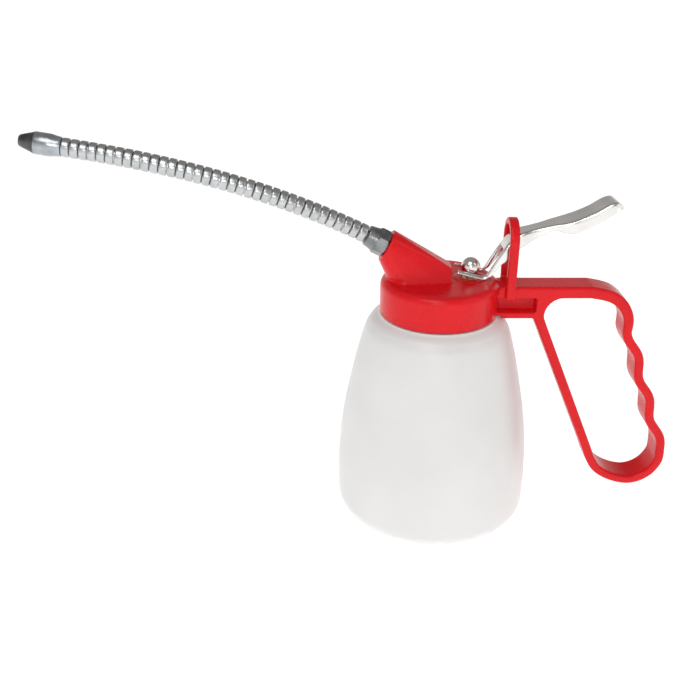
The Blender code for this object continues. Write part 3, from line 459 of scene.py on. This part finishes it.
class Shells:
    """Shells in millimetres, gathered into one mesh."""

    def __init__(self):
        self.points = []
        self.faces = []

    def add(self, points, faces):
        first = len(self.points)
        self.points += [tuple(point) for point in points]
        self.faces += [[first + i for i in face] for face in faces]
        return self


def turned(outline, sides=ROUND, matrix=None):
    """A closed outline of (radius, height) points turned about Z, and placed by the matrix."""
    points, faces, columns = [], [], []
    for radius, height in outline:
        count = 1 if radius == 0 else sides
        column = []
        for side in range(count):
            angle = 2 * math.pi * side / sides
            column.append(len(points))
            points.append(Vector((radius * math.cos(angle), radius * math.sin(angle), height)))
        columns.append(column * (sides // count))
    for first, second in zip(columns, columns[1:] + columns[:1]):
        for side in range(sides):
            after = (side + 1) % sides
            corners = list(dict.fromkeys((first[side], first[after], second[after], second[side])))
            if len(corners) > 2:
                faces.append(corners)
    if matrix is not None:
        points = [matrix @ point for point in points]
    return points, faces


def rod(radius, low, high, sides=ROUND, matrix=None):
    """A full cylinder about Z, placed by the matrix."""
    return turned(((0, low), (radius, low), (radius, high), (0, high)), sides, matrix)


def swept(loops, closed=False):
    """Bridges loops of points, and caps the ends unless the sweep is closed."""
    count = len(loops[0])
    points = [point for loop in loops for point in loop]
    faces = []
    rows = len(loops)
    for row in range(rows if closed else rows - 1):
        for i in range(count):
            j = (i + 1) % count
            after = (row + 1) % rows
            faces.append((row * count + i, row * count + j, after * count + j, after * count + i))
    if not closed:
        faces.append(list(range(count)))
        faces.append(list(reversed(range((rows - 1) * count, rows * count))))
    return points, faces


def slab(outline, low, high):
    """An outline of (x, z) points extruded along Y."""
    return swept([[(x, y, z) for x, z in outline] for y in (low, high)])


def smooth_path(points, steps):
    """Points on a Catmull-Rom curve through the given ones."""
    points = [Vector(point) for point in points]
    ends = [2 * points[0] - points[1]] + points + [2 * points[-1] - points[-2]]
    path = []
    for a, b, c, d in zip(ends, ends[1:], ends[2:], ends[3:]):
        for step in range(steps):
            t = step / steps
            square, cube = (2 * a - 5 * b + 4 * c - d) * t**2, (3 * b - 3 * c + d - a) * t**3
            path.append((2 * b + (c - a) * t + square + cube) / 2)
    return path + [points[-1]]


def arc(x, y, radius, start, end, steps):
    """Points on an arc about a centre, in degrees."""
    made = []
    for step in range(steps + 1):
        angle = math.radians(start + (end - start) * step / steps)
        made.append((x + radius * math.cos(angle), y + radius * math.sin(angle)))
    return made


def along(origin, direction):
    """A matrix whose local +Z is the direction and local +Y is the world's Y."""
    z = direction.normalized()
    y = Vector((0, 1, 0))
    return Matrix.Translation(origin) @ Matrix((y.cross(z), y, z)).transposed().to_4x4()


def across_y(x, z):
    """A matrix whose local +Z is the world's +Y."""
    return Matrix.Translation((x, 0, z)) @ Matrix.Rotation(-math.pi / 2, 4, "X")


def solid(name, shells, surface=None):
    """An object from shells in millimetres, with its normals facing out."""
    mesh = bpy.data.meshes.new(name)
    mesh.from_pydata([[c * MM for c in point] for point in shells.points], [], shells.faces)
    bm = bmesh.new()
    bm.from_mesh(mesh)
    bmesh.ops.recalc_face_normals(bm, faces=bm.faces)
    bm.to_mesh(mesh)
    bm.free()
    if surface:
        mesh.materials.append(surface)
    obj = bpy.data.objects.new(name, mesh)
    bpy.context.scene.collection.objects.link(obj)
    return obj


def boolean(obj, shape, operation, solver="MANIFOLD"):
    """Adds a boolean to an object, and returns its tool, which bake() removes."""
    tool = solid("tool", Shells().add(*shape))
    modifier = obj.modifiers.new(operation, "BOOLEAN")
    modifier.operation = operation
    modifier.solver = solver
    modifier.object = tool
    return tool


def bake(obj, tools=(), angle=40):
    """Applies the modifiers, removes their tools and shades the result smooth below an angle in degrees."""
    graph = bpy.context.evaluated_depsgraph_get()
    made = bpy.data.meshes.new_from_object(obj.evaluated_get(graph), depsgraph=graph)
    surface = obj.data.materials[0]
    obj.modifiers.clear()
    obj.data = made
    made.materials.clear()
    made.materials.append(surface)
    for polygon in made.polygons:
        polygon.material_index = 0
    made.shade_smooth()
    made.set_sharp_from_angle(angle=math.radians(angle))
    for tool in tools:
        bpy.data.objects.remove(tool, do_unlink=True)
    return obj


def remesh(obj, voxel, passes):
    """Melts the shells into one skin with softly rounded edges."""
    modifier = obj.modifiers.new("remesh", "REMESH")
    modifier.mode = "VOXEL"
    modifier.voxel_size = voxel * MM
    modifier = obj.modifiers.new("smooth", "SMOOTH")
    modifier.factor = SMOOTH_SHARE
    modifier.iterations = passes


def place(obj, body, slot, *nodes):
    """Puts a piece on its body, in the place of the nodes that it stands for; the slot is not used."""
    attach(obj, body)
    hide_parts(*nodes)


def helix(wall, tip, start, turns):
    """A thread ridge that fades into its wall at both ends."""
    inward = 1 if tip > wall else -1
    root = wall - inward * BURY
    steps = round(turns * ROUND)
    loops = []
    for step in range(steps + 1):
        angle = 2 * math.pi * step / ROUND
        fade = min(1.0, step / THREAD_FADE_STEPS, (steps - step) / THREAD_FADE_STEPS)
        crest = wall - inward * BURY / 2 + (tip - wall + inward * BURY / 2) * fade
        z = start + PITCH * step / ROUND
        across = Vector((math.cos(angle), math.sin(angle), 0))
        section = ((root, -THREAD_ROOT), (crest, -THREAD_TIP), (crest, THREAD_TIP), (root, THREAD_ROOT))
        loops.append([across * r + Vector((0, 0, z + dz / 2)) for r, dz in section])
    return swept(loops)


def bottle_side(inset, steps):
    """The bottle's side from its foot to its shoulder, as (radius, height) points, inset by a wall."""
    radius = BOTTLE_RADIUS - inset
    low = arc(BOTTLE_RADIUS - BASE_CORNER, BASE_CORNER, BASE_CORNER - inset, -90, 0, CORNER_STEPS)
    bell = [(BOTTLE_RADIUS * r - inset, SHOULDER * z) for r, z in BELL_SHARES]
    shoulder = [(BOTTLE_RADIUS * r - inset, SHOULDER * z - inset / 2) for r, z in SHOULDER_SHARES]
    curve = smooth_path([(radius, BASE_CORNER)] + bell + shoulder, steps)
    return low + [tuple(point) for point in curve[1:]]


def make_bottle():
    """The bottle, with its recessed foot, its collar, and the thread on its neck."""
    foot = BOTTLE_RADIUS - BASE_CORNER
    outer = [
        (0, 0), (BASE_LAND, 0), (BASE_LAND + FOOT_RECESS, FOOT_RECESS), (foot - FOOT_WIDTH, FOOT_RECESS),
        (foot - FOOT_WIDTH + FOOT_RECESS, 0),
    ]
    outer += [point for point in bottle_side(0, CURVE_STEPS) if point[0] > COLLAR_RADIUS + FILLET_REACH]
    outer += [(COLLAR_RADIUS + out, COLLAR_TOP - down) for out, down in FILLET_LINE]
    outer += arc(COLLAR_RADIUS - LIP_ROUND, COLLAR_TOP - LIP_ROUND, LIP_ROUND, 0, 90, LIP_STEPS)
    outer += [(NECK_RADIUS, COLLAR_TOP)]
    outer += arc(NECK_RADIUS - LIP_ROUND, NECK_TOP - LIP_ROUND, LIP_ROUND, 0, 90, LIP_STEPS)
    outer += [(NECK_BORE, NECK_TOP), (NECK_BORE, SHOULDER - BOTTLE_WALL)]
    floor = FOOT_RECESS + BOTTLE_WALL
    inner = [point for point in reversed(bottle_side(BOTTLE_WALL, CURVE_STEPS // 2)) if point[1] > floor]
    inner += [(foot - FOOT_WIDTH, floor), (0, floor)]
    bottle = solid("bottle_shell", Shells().add(*turned(outer + inner)), BOTTLE)
    tool = boolean(bottle, helix(NECK_RADIUS, NECK_RADIUS + THREAD_DEPTH, THREAD_START, NECK_TURNS), "UNION")
    bake(bottle, [tool])
    place(bottle, "bottle", "bottle_plastic", "bottle")


def hull(points):
    """The convex hull of some points, as points and faces."""
    bm = bmesh.new()
    for point in points:
        bm.verts.new(point)
    bmesh.ops.convex_hull(bm, input=bm.verts)
    loose = [vert for vert in bm.verts if not vert.link_faces]
    bmesh.ops.delete(bm, geom=loose, context="VERTS")
    bm.verts.index_update()
    corners = [vert.co.copy() for vert in bm.verts]
    faces = [[vert.index for vert in face.verts] for face in bm.faces]
    bm.free()
    return corners, faces


def hood():
    """The hull of the boss's round face, the hood's round foot on the cap and its narrow back."""
    face = along(SPOUT_FACE, SPOUT_OUT)
    last = 360 * (MEDIUM_ROUND - 1) / MEDIUM_ROUND
    points = [face @ Vector((x, y, 0)) for x, y in arc(0, 0, BOSS_RADIUS, 0, last, MEDIUM_ROUND - 1)]
    foot = CAP_TOP - CAP_EDGE
    front = arc(HOOD_HALF - HOOD_FRONT, 0, HOOD_HALF, *HOOD_SWEEP, HOOD_STEPS)
    points += [Vector((x, y, foot)) for x, y in front]
    for side in (-1, 1):
        points.append(Vector((HOOD_BACK, side * BOSS_RADIUS, foot)))
        points.append(Vector((HOOD_BACK, side * HOOD_BACK_HALF, CAP_TOP + HOOD_BACK_RISE)))
    return hull(points)


def handle_path():
    """The band's middle line: out along the arm, down the wavy grip, round the loop and up the strut."""
    run = GRIP_BOTTOM - GRIP_TOP
    across = Vector((-run.y, run.x)).normalized()
    grip = []
    for step in range(GRIP_STEPS + 1):
        s = run.length * step / GRIP_STEPS
        wave = GRIP_WAVE * math.sin(2 * math.pi * (s - GRIP_WAVE_START) / GRIP_WAVE_PITCH)
        grip.append(GRIP_TOP + run * (step / GRIP_STEPS) + across * wave)
    arm = smooth_path([*ARM_LINE, grip[0]], CURVE_STEPS)[:-1]
    bottom = smooth_path([grip[-1], *LOOP_LINE], CURVE_STEPS)[1:]
    strut_end = STRUT_TOP + (STRUT_TOP - bottom[-1]).normalized() * STRUT_REACH
    return [Vector((ARM_START, ARM_Z))] + arm + grip + bottom + [STRUT_TOP, strut_end]


def band(path):
    """The handle's band: a rounded strip along its middle line, which thickens from the grip to the arm."""
    width = ARM_HALF - BAND_ROUND
    loops = []
    for i, point in enumerate(path):
        ahead = (path[min(i + 1, len(path) - 1)] - path[max(i - 1, 0)]).normalized()
        side = Vector((ahead.y, -ahead.x))
        share = min(1, max(0, (point.y - GRIP_TOP.y) / (ARM_Z - GRIP_TOP.y)))
        half = (BAND + (ARM_THICK - BAND) * share) / 2 - BAND_ROUND
        shape = []
        for quarter, (n, y) in enumerate(((half, width), (-half, width), (-half, -width), (half, -width))):
            shape += arc(n, y, BAND_ROUND, 90 * quarter, 90 * (quarter + 1), BAND_STEPS)
        loops.append([(point.x + side.x * n, y, point.y + side.y * n) for n, y in shape])
    return swept(loops)


def corner_block():
    """The full corner between the arm and the strut, with its inner bend."""
    run = Vector(LOOP_LINE[-1]) - STRUT_TOP
    tangent = math.degrees(math.atan2(-run.x, -run.y))
    side = Vector((run.y, -run.x)).normalized() * (BAND / 2 - BURY)
    low, inner = STRUT_TOP + side, STRUT_TOP - side
    outline = [(POCKET_END, FLANGE_LOW), tuple(low), tuple(inner)]
    outline += arc(CORNER_CENTRE.x, CORNER_CENTRE.y, CORNER_RADIUS, 180 - tangent, 90, BEND_STEPS)
    outline += [(CORNER_CENTRE.x, ARM_Z), (POCKET_END, ARM_Z)]
    return slab(outline, -ARM_HALF, ARM_HALF)


def arch():
    """The round arch that holds the lever's pin, extruded along X."""
    inner = ARCH_HALF - ARCH_WALL
    spring = ARCH_TOP - ARCH_HALF
    outline = [(ARCH_HALF, ARCH_FOOT)] + arc(0, spring, ARCH_HALF, 0, 180, ARCH_STEPS)
    outline += [(-ARCH_HALF, ARCH_FOOT), (-inner, ARCH_FOOT)]
    outline += list(reversed(arc(0, spring, inner, 0, 180, ARCH_INNER_STEPS))) + [(inner, ARCH_FOOT)]
    half = ARCH_THICKNESS / 2
    return swept([[(x, y, z) for y, z in outline] for x in (ARCH_X - half, ARCH_X + half)])


def flange_and_web():
    """The arm's lower flange and the thin web above it, on each side of which is a pocket."""
    end = POCKET_END + BURY
    lower = (
        (NOTCH.x, FLANGE_LOW), (end, FLANGE_LOW), (end, FLANGE_TOP), (ARM_START, FLANGE_TOP),
        (ARM_START, NOTCH.y), (NOTCH.x, NOTCH.y),
    )
    low, high, end = FLANGE_TOP - BURY, ARM_Z - ARM_THICK / 2 + BURY, POCKET_END + 2 * BURY
    web = ((ARM_START, low), (end, low), (end, high), (ARM_START, high))
    return slab(lower, -ARM_HALF, ARM_HALF), slab(web, -WEB_HALF, WEB_HALF)


def make_head():
    """The red moulding: melted from its shells into one skin, then bored and threaded."""
    pump = Matrix.Translation((PUMP_X, 0, 0))
    cap = [(0, CAP_RIM), (CAP_RADIUS - CAP_BEVEL, CAP_RIM), (CAP_RADIUS, CAP_RIM + CAP_BEVEL)]
    cap += arc(CAP_RADIUS - CAP_EDGE, CAP_TOP - CAP_EDGE, CAP_EDGE, 0, 90, CORNER_STEPS) + [(0, CAP_TOP)]
    boss = rod(GLAND_BOSS, CEILING, GLAND_TOP, MEDIUM_ROUND, pump)
    shells = Shells()
    for shell in (turned(cap), hood(), boss, band(handle_path()), corner_block(), *flange_and_web(), arch()):
        shells.add(*shell)
    head = solid("pump_head", shells, RED)
    remesh(head, HEAD_VOXEL, HEAD_PASSES)
    spout = along(SPOUT_FACE, SPOUT_OUT)
    duct_start = SPOUT_FACE - SPOUT_OUT * (OUTLET_DEPTH - OVERRUN)
    duct = along(duct_start, PORT - duct_start)
    length = (PORT - duct_start).length
    pin_hole = (PIN_RADIUS + PIN_HOLE_FIT, PIN_HOLE_WALL - ARCH_HALF, ARCH_HALF + OVERRUN)
    tools = [
        boolean(head, shape, operation) for operation, shape in (
            ("DIFFERENCE", rod(CAP_BORE, CAP_RIM - OVERRUN, CEILING)),
            ("UNION", helix(CAP_BORE, CAP_BORE - THREAD_DEPTH, THREAD_START - PITCH / 2, CAP_TURNS)),
            ("UNION", rod(SOCKET_RADIUS, SOCKET_BOTTOM, CEILING + BURY, MEDIUM_ROUND, pump)),
            ("UNION", rod(PORT_RADIUS + PORT_WALL, length / 2, length, SMALL_ROUND, duct)),
            ("DIFFERENCE", rod(SOCKET_BORE, SOCKET_BOTTOM - OVERRUN, SOCKET_TOP, MEDIUM_ROUND, pump)),
            ("DIFFERENCE", rod(GLAND_RADIUS, GLAND_FLOOR, GLAND_TOP + OVERRUN, MEDIUM_ROUND, pump)),
            ("DIFFERENCE", rod(ROD_RADIUS + FIT, SOCKET_TOP - OVERRUN, GLAND_TOP, SMALL_ROUND, pump)),
            ("DIFFERENCE", rod(NUT_BORE, -NUT_BORE_DEPTH, OVERRUN, MEDIUM_ROUND, spout)),
            ("DIFFERENCE", rod(OUTLET_RADIUS, -OUTLET_DEPTH, 0, SMALL_ROUND, spout)),
            ("DIFFERENCE", rod(PORT_RADIUS, 0, length + OVERRUN, SMALL_ROUND, duct)),
            ("DIFFERENCE", rod(*pin_hole, PIN_ROUND, across_y(ARCH_X, PIVOT_Z))),
        )
    ]
    bake(head, tools)
    place(head, "head", "red_plastic", "head")


def lever_stations():
    """The lever's (x, z, half width, flange depth) from the fork's tip to the thumb piece's end."""
    run = CREST - PLATE_BACK
    stations = [(*PLATE_TIP, FORK_HALF, PLATE_FLANGE), (*PLATE_BACK, FORK_HALF, PLATE_FLANGE)]
    for ahead, up, flange in RISER_SHARES:
        half = HINGE_HALF if flange == 1 else FORK_HALF
        depth = max(PLATE_FLANGE, LEVER_FLANGE * flange)
        stations.append((PLATE_BACK.x + run.x * ahead, PLATE_BACK.y + run.y * up, half, depth))
    for ahead, up, wide, flange in THUMB_SHARES:
        half = WAIST_HALF + (THUMB_HALF - WAIST_HALF) * wide
        depth = max(PLATE_FLANGE, LEVER_FLANGE * flange)
        stations.append((CREST.x + LEVER_LENGTH * ahead, CREST.y + LEVER_RISE * up, half, depth))
    return [Vector(station) for station in stations]


def lever_section(half, depth):
    """The pressed channel's (across, down) points: round outer edges, and a flange down each side."""
    near, middle, inside = half - LEVER_EDGE, half - LEVER_EDGE_MIDDLE, half - SHEET
    return (
        (-half, depth), (-half, LEVER_EDGE), (-middle, LEVER_EDGE_MIDDLE), (-near, 0), (near, 0),
        (middle, LEVER_EDGE_MIDDLE), (half, LEVER_EDGE), (half, depth), (inside, depth), (inside, SHEET),
        (-inside, SHEET), (-inside, depth),
    )


def make_lever():
    """The thumb lever: a pressed channel, slotted into a fork at its front, with a hole for the pin."""
    stations = lever_stations()
    fine = smooth_path(stations[:2], PLATE_STEPS)[:-1] + smooth_path(stations[1:], CURVE_STEPS)
    loops = []
    for i, (x, z, half, depth) in enumerate(fine):
        before, after = fine[max(i - 1, 0)], fine[min(i + 1, len(fine) - 1)]
        ahead = Vector((after[0] - before[0], after[1] - before[1])).normalized()
        down = Vector((ahead.y, -ahead.x))
        loops.append([(x + down.x * d, y, z + down.y * d) for y, d in lever_section(half, depth)])
    lever = solid("thumb_lever", Shells().add(*swept(loops)), ZINC)
    tip, back, foot, top = PLATE_TIP.x - OVERRUN, stations[1], stations[3], stations[6]
    slot = (
        (tip, PLATE_TIP.y + SLOT_DEEP), (tip, PLATE_TIP.y - SLOT_DEEP), (back[0], back[1] - SLOT_DEEP),
        (foot[0] + SLOT_DEEP, foot[1] - SLOT_DEEP), (top[0] + SLOT_DEEP, top[1] - SHEET),
        (top[0] - SLOT_DEEP, top[1] + SHEET), (foot[0] - SLOT_DEEP, foot[1] + SLOT_DEEP),
    )
    tools = [boolean(lever, slab(slot, -SLOT_HALF, SLOT_HALF), "DIFFERENCE", "EXACT")]
    remesh(lever, LEVER_VOXEL, LEVER_PASSES)
    hole = rod(PIN_RADIUS + LEVER_HOLE_FIT, -ARCH_HALF, ARCH_HALF, PIN_ROUND, across_y(ARCH_X, PIVOT_Z))
    tools.append(boolean(lever, hole, "DIFFERENCE"))
    bake(lever, tools, angle=50)
    place(lever, "lever", "zinc_steel", "lever")


def make_plunger():
    """The round knob, the rod in its hole, and the brass ring that guides the rod."""
    pump = Matrix.Translation((PUMP_X, 0, 0))
    hole = ROD_RADIUS + FIT
    low = math.degrees(math.acos(hole / KNOB_RADIUS))
    outline = [(hole, KNOB_Z)] + arc(0, KNOB_Z, KNOB_RADIUS, -low, 90, KNOB_STEPS)[:-1]
    outline += [(0, KNOB_Z + KNOB_RADIUS), (0, KNOB_Z)]
    knob = solid("lift_knob", Shells().add(*turned(outline, MEDIUM_ROUND, pump)), ZINC)
    place(bake(knob), "plunger", "zinc_steel", "plunger_knob")
    stem = rod(ROD_RADIUS, STEM_LOW, KNOB_Z - FIT, SMALL_ROUND, pump)
    stem = solid("lift_rod", Shells().add(*stem), ZINC)
    place(bake(stem), "plunger", "zinc_steel", "plunger_rod")
    high, outside = GLAND_TOP - BUSH_BEVEL, GLAND_RADIUS - FIT
    outline = [(hole, BUSH_LOW), (hole, high), (hole + BUSH_BEVEL, GLAND_TOP)]
    outline += [(outside - BUSH_BEVEL, GLAND_TOP), (outside, high), (outside, BUSH_LOW)]
    bush = solid("gland_ring", Shells().add(*turned(outline, MEDIUM_ROUND, pump)), BRASS)
    place(bake(bush, angle=60), "head", "brass", "gland_bush")


def make_spring():
    """The return spring in the barrel, a wire coiled about the pump's axis."""
    steps = SPRING_TURNS * SPRING_TURN_STEPS
    low, high = SPRING_LOW + SPRING_WIRE / 2, SPRING_HIGH - SPRING_WIRE / 2
    wire = [2 * math.pi * corner / WIRE_SIDES for corner in range(WIRE_SIDES)]
    loops = []
    for step in range(steps + 1):
        angle = 2 * math.pi * step / SPRING_TURN_STEPS
        across = Vector((math.cos(angle), math.sin(angle), 0))
        centre = Vector((PUMP_X, 0, low + (high - low) * step / steps)) + across * SPRING_RADIUS
        ring = [across * math.cos(a) + Vector((0, 0, math.sin(a))) for a in wire]
        loops.append([centre + point * SPRING_WIRE / 2 for point in ring])
    spring = bake(solid("lift_spring", Shells().add(*swept(loops)), ZINC))
    place(spring, "head", "zinc_steel", "return_spring")
    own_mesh(spring)


def make_pin():
    """The lever's pin, with a bevel at the end that shows."""
    low, high = PIN_LOW_INSET - ARCH_HALF, ARCH_HALF - PIN_HIGH_INSET
    outline = [(0, low), (PIN_RADIUS, low), (PIN_RADIUS, high - PIN_BEVEL)]
    outline += [(PIN_RADIUS - PIN_BEVEL, high), (0, high)]
    pin = solid("pivot_pin", Shells().add(*turned(outline, PIN_ROUND, across_y(ARCH_X, PIVOT_Z))), ZINC)
    place(bake(pin), "head", "zinc_steel", "lever_pin")


def hose_radius(s):
    """The hose's outer radius at a length s along a link: rounded rings with a narrow groove between."""
    edge = abs(2 * (s / RING_PITCH % 1.0) - 1)
    ring = (HOSE_RADIUS - HOSE_GROOVE) * (1 - edge**RING_SQUARENESS)
    return HOSE_GROOVE + ring - RING_CROWN * edge**2


def hose_profile(ball, socketed):
    """A link's (length, radius) points: over its ball neck and rings to its end, and back along its bore."""
    reach, neck_bore = NECK_REACH_SHARE * ball, NECK_BORE_SHARE * ball
    lengths = [(reach + HOSE_FACE) * k / NECK_STEPS - reach for k in range(NECK_STEPS + 1)]
    points = [(s, math.sqrt(ball**2 - s**2)) for s in lengths]
    run = LINK_LENGTH - 2 * HOSE_END_CUT
    steps = round(run / RING_PITCH * HOSE_PER_RING)
    lengths = [HOSE_END_CUT + run * step / steps for step in range(steps + 1)]
    points += [(s, hose_radius(s)) for s in lengths]
    if socketed:
        depths = (HOSE_FACE, *HOSE_SOCKET_DEPTHS)
        points += [(LINK_LENGTH - depth, math.sqrt(HOSE_SOCKET**2 - depth**2)) for depth in depths]
    else:
        seat = LINK_LENGTH + HOSE_SPIGOT
        points += [(LINK_LENGTH, HOSE_GROOVE), (seat, HOSE_GROOVE), (seat, HOSE_BORE)]
    points += [(LINK_LENGTH - HOSE_SOCKET_FLOOR, HOSE_BORE), (HOSE_BORE_START, HOSE_BORE)]
    return points + [(NECK_BORE_END, neck_bore), (-reach, neck_bore)]


def hose_place(ends, s):
    """The frame at a length s along a link that curves between two ends, each a (point, direction)."""
    (first, first_way), (last, last_way) = ends
    t = min(1.0, max(0.0, s / LINK_LENGTH))
    point = first * (2 * t**3 - 3 * t**2 + 1) + last * (3 * t**2 - 2 * t**3)
    point += (first_way * (t**3 - 2 * t**2 + t) + last_way * (t**3 - t**2)) * LINK_LENGTH
    way = (last - first) * (6 * t - 6 * t**2)
    way += (first_way * (3 * t**2 - 4 * t + 1) + last_way * (3 * t**2 - 2 * t)) * LINK_LENGTH
    way.normalize()
    return along(point + way * (s - t * LINK_LENGTH), way)


def make_hose():
    """The ringed hose: a piece for each link, whose ball neck sits in the link or the nut before it."""
    spout_joints = [joint for joint in frame["joints"] if joint["name"].startswith("spout_")]
    starts = [Vector(joint["pos_m"]) / MM for joint in spout_joints]
    directions = [(b - a).normalized() for a, b in zip(starts, starts[1:])]
    directions.append(Vector((-math.cos(TIP_ANGLE), 0, math.sin(TIP_ANGLE))))
    tip_seat = starts[-1] + directions[-1] * LINK_LENGTH
    ways = [Vector(SPOUT_OUT)] + [(a + b).normalized() for a, b in zip(directions, directions[1:])]
    ends = list(zip(starts + [tip_seat], ways + [directions[-1]]))
    angles = [2 * math.pi * k / HOSE_AROUND for k in range(HOSE_AROUND)]
    for i, pair in enumerate(zip(ends, ends[1:])):
        loops = []
        for s, radius in hose_profile(FIRST_BALL if i == 0 else HOSE_BALL, i + 1 < len(starts)):
            matrix = hose_place(pair, s)
            ring = [Vector((radius * math.cos(a), radius * math.sin(a), 0)) for a in angles]
            loops.append([matrix @ point for point in ring])
        piece = solid(f"hose_{i + 1:02d}", Shells().add(*swept(loops, closed=True)), HOSE)
        place(bake(piece, angle=30), f"link_{i + 1:02d}", "zinc_steel", f"spout_link_{i + 1:02d}")
    return tip_seat, directions[-1]


def make_tip(end, way):
    """The nozzle: it widens from the hose to a bright barrel, and ends in a dark cone."""
    outline = [(TIP_SEAT_RADIUS, 0.0), *TIP_SIDE, (TIP_BORE, TIP_BORE_END), (TIP_BORE, TIP_SEAT_DEPTH)]
    outline += [(TIP_SEAT_RADIUS, TIP_SEAT_DEPTH)]
    tip = solid("nozzle", Shells().add(*turned(outline, MEDIUM_ROUND, along(end, way))), TIP_BARREL)
    bake(tip, angle=50)
    tip.data.materials.append(TIP_CONE)
    for polygon in tip.data.polygons:
        if (polygon.center / MM - end).dot(way) > TIP_CONE_START:
            polygon.material_index = 1
    place(tip, "link_12", "dark_zinc", "nozzle_tip")


def make_nut():
    """The hexagon nut with bevelled corners, its neck in the boss and its turned collar."""
    seat = along(SPOUT_FACE, SPOUT_OUT)
    low, high = FIT, FIT + NUT_LENGTH
    corner = NUT_FLATS / math.sqrt(3)
    hexagon = turned(((NUT_HOLE, low), (corner, low), (corner, high), (NUT_HOLE, high)), NUT_SIDES, seat)
    nut = solid("hose_nut", Shells().add(*hexagon), DARK)
    inside, outside = corner - NUT_BEVEL, corner + NUT_BEVEL_PROUD
    bevels = [(0, -OVERRUN), (inside, -OVERRUN), (inside, low), (outside, low + NUT_BEVEL_LOW)]
    bevels += [(outside, high - NUT_BEVEL_HIGH), (inside, high)]
    bevels += [(inside, high + OVERRUN), (0, high + OVERRUN)]
    tools = [boolean(nut, turned(bevels, NUT_BEVEL_SIDES, seat), "INTERSECT", "EXACT")]
    end = high + NUT_COLLAR_LENGTH
    collar = [(NUT_HOLE, -NUT_NECK_DEPTH), (NUT_NECK, -NUT_NECK_DEPTH), (NUT_NECK, low + BURY)]
    collar += [(NUT_COLLAR_WIDE, low + BURY), (NUT_COLLAR_WIDE, high - NUT_COLLAR_SINK)]
    centre = (NUT_COLLAR_NARROW - NUT_COLLAR_ROUND, end - NUT_COLLAR_ROUND)
    collar += arc(*centre, NUT_COLLAR_ROUND, 0, 90, NUT_COLLAR_STEPS) + [(NUT_HOLE, end)]
    tools.append(boolean(nut, turned(collar, MEDIUM_ROUND, seat), "UNION", "EXACT"))
    bake(nut, tools, angle=30)
    place(nut, "head", "dark_zinc", "spout_nut")


def dress_nodes():
    """Gives every CAD node a material; those that no piece replaces show it."""
    for name, node in frame["nodes"].items():
        node.data.materials.clear()
        node.data.materials.append(NODE_SURFACES.get(name, ZINC))


def make_stage():
    """The floor, the sky and the lamps."""
    far = FLOOR_HALF
    corners = [(-far, -far, 0), (far, -far, 0), (far, far, 0), (-far, far, 0)]
    floor = solid("floor", Shells().add(corners, [(0, 1, 2, 3)]), PALE)
    world = bpy.data.worlds.new("studio")
    bpy.context.scene.world = world
    world.use_nodes = True
    sky = world.node_tree
    direction = sky.nodes.new("ShaderNodeTexCoord")
    height = sky.nodes.new("ShaderNodeSeparateXYZ")
    sky.links.new(direction.outputs["Generated"], height.inputs["Vector"])
    shade = ramp(sky, height.outputs["Z"], SKY_LOW, SKY_HIGH, SKY_SPAN)
    sky.links.new(shade, sky.nodes["Background"].inputs["Color"])
    for name, spot, size, power in LAMPS:
        data = bpy.data.lights.new(name, "AREA")
        data.size = size
        data.energy = power
        lamp = bpy.data.objects.new(name, data)
        bpy.context.scene.collection.objects.link(lamp)
        lamp.location = spot
        lamp.rotation_euler = (LAMP_AIM - Vector(spot)).to_track_quat("-Z", "Y").to_euler()


def make_camera():
    """The camera, and a plain view transform that doesn't tone the colours."""
    data = bpy.data.cameras.new("camera")
    data.sensor_width = CAMERA_SENSOR
    data.lens = CAMERA_LENS
    camera = bpy.data.objects.new("camera", data)
    bpy.context.scene.collection.objects.link(camera)
    camera.location = CAMERA_PLACE
    camera.rotation_euler = (math.radians(90 - CAMERA_DOWN), 0, 0)
    bpy.context.scene.camera = camera
    bpy.context.scene.view_settings.view_transform = "Standard"


make_camera()
make_stage()
dress_nodes()
make_bottle()
make_head()
make_lever()
make_plunger()
make_spring()
make_pin()
make_nut()
make_tip(*make_hose())
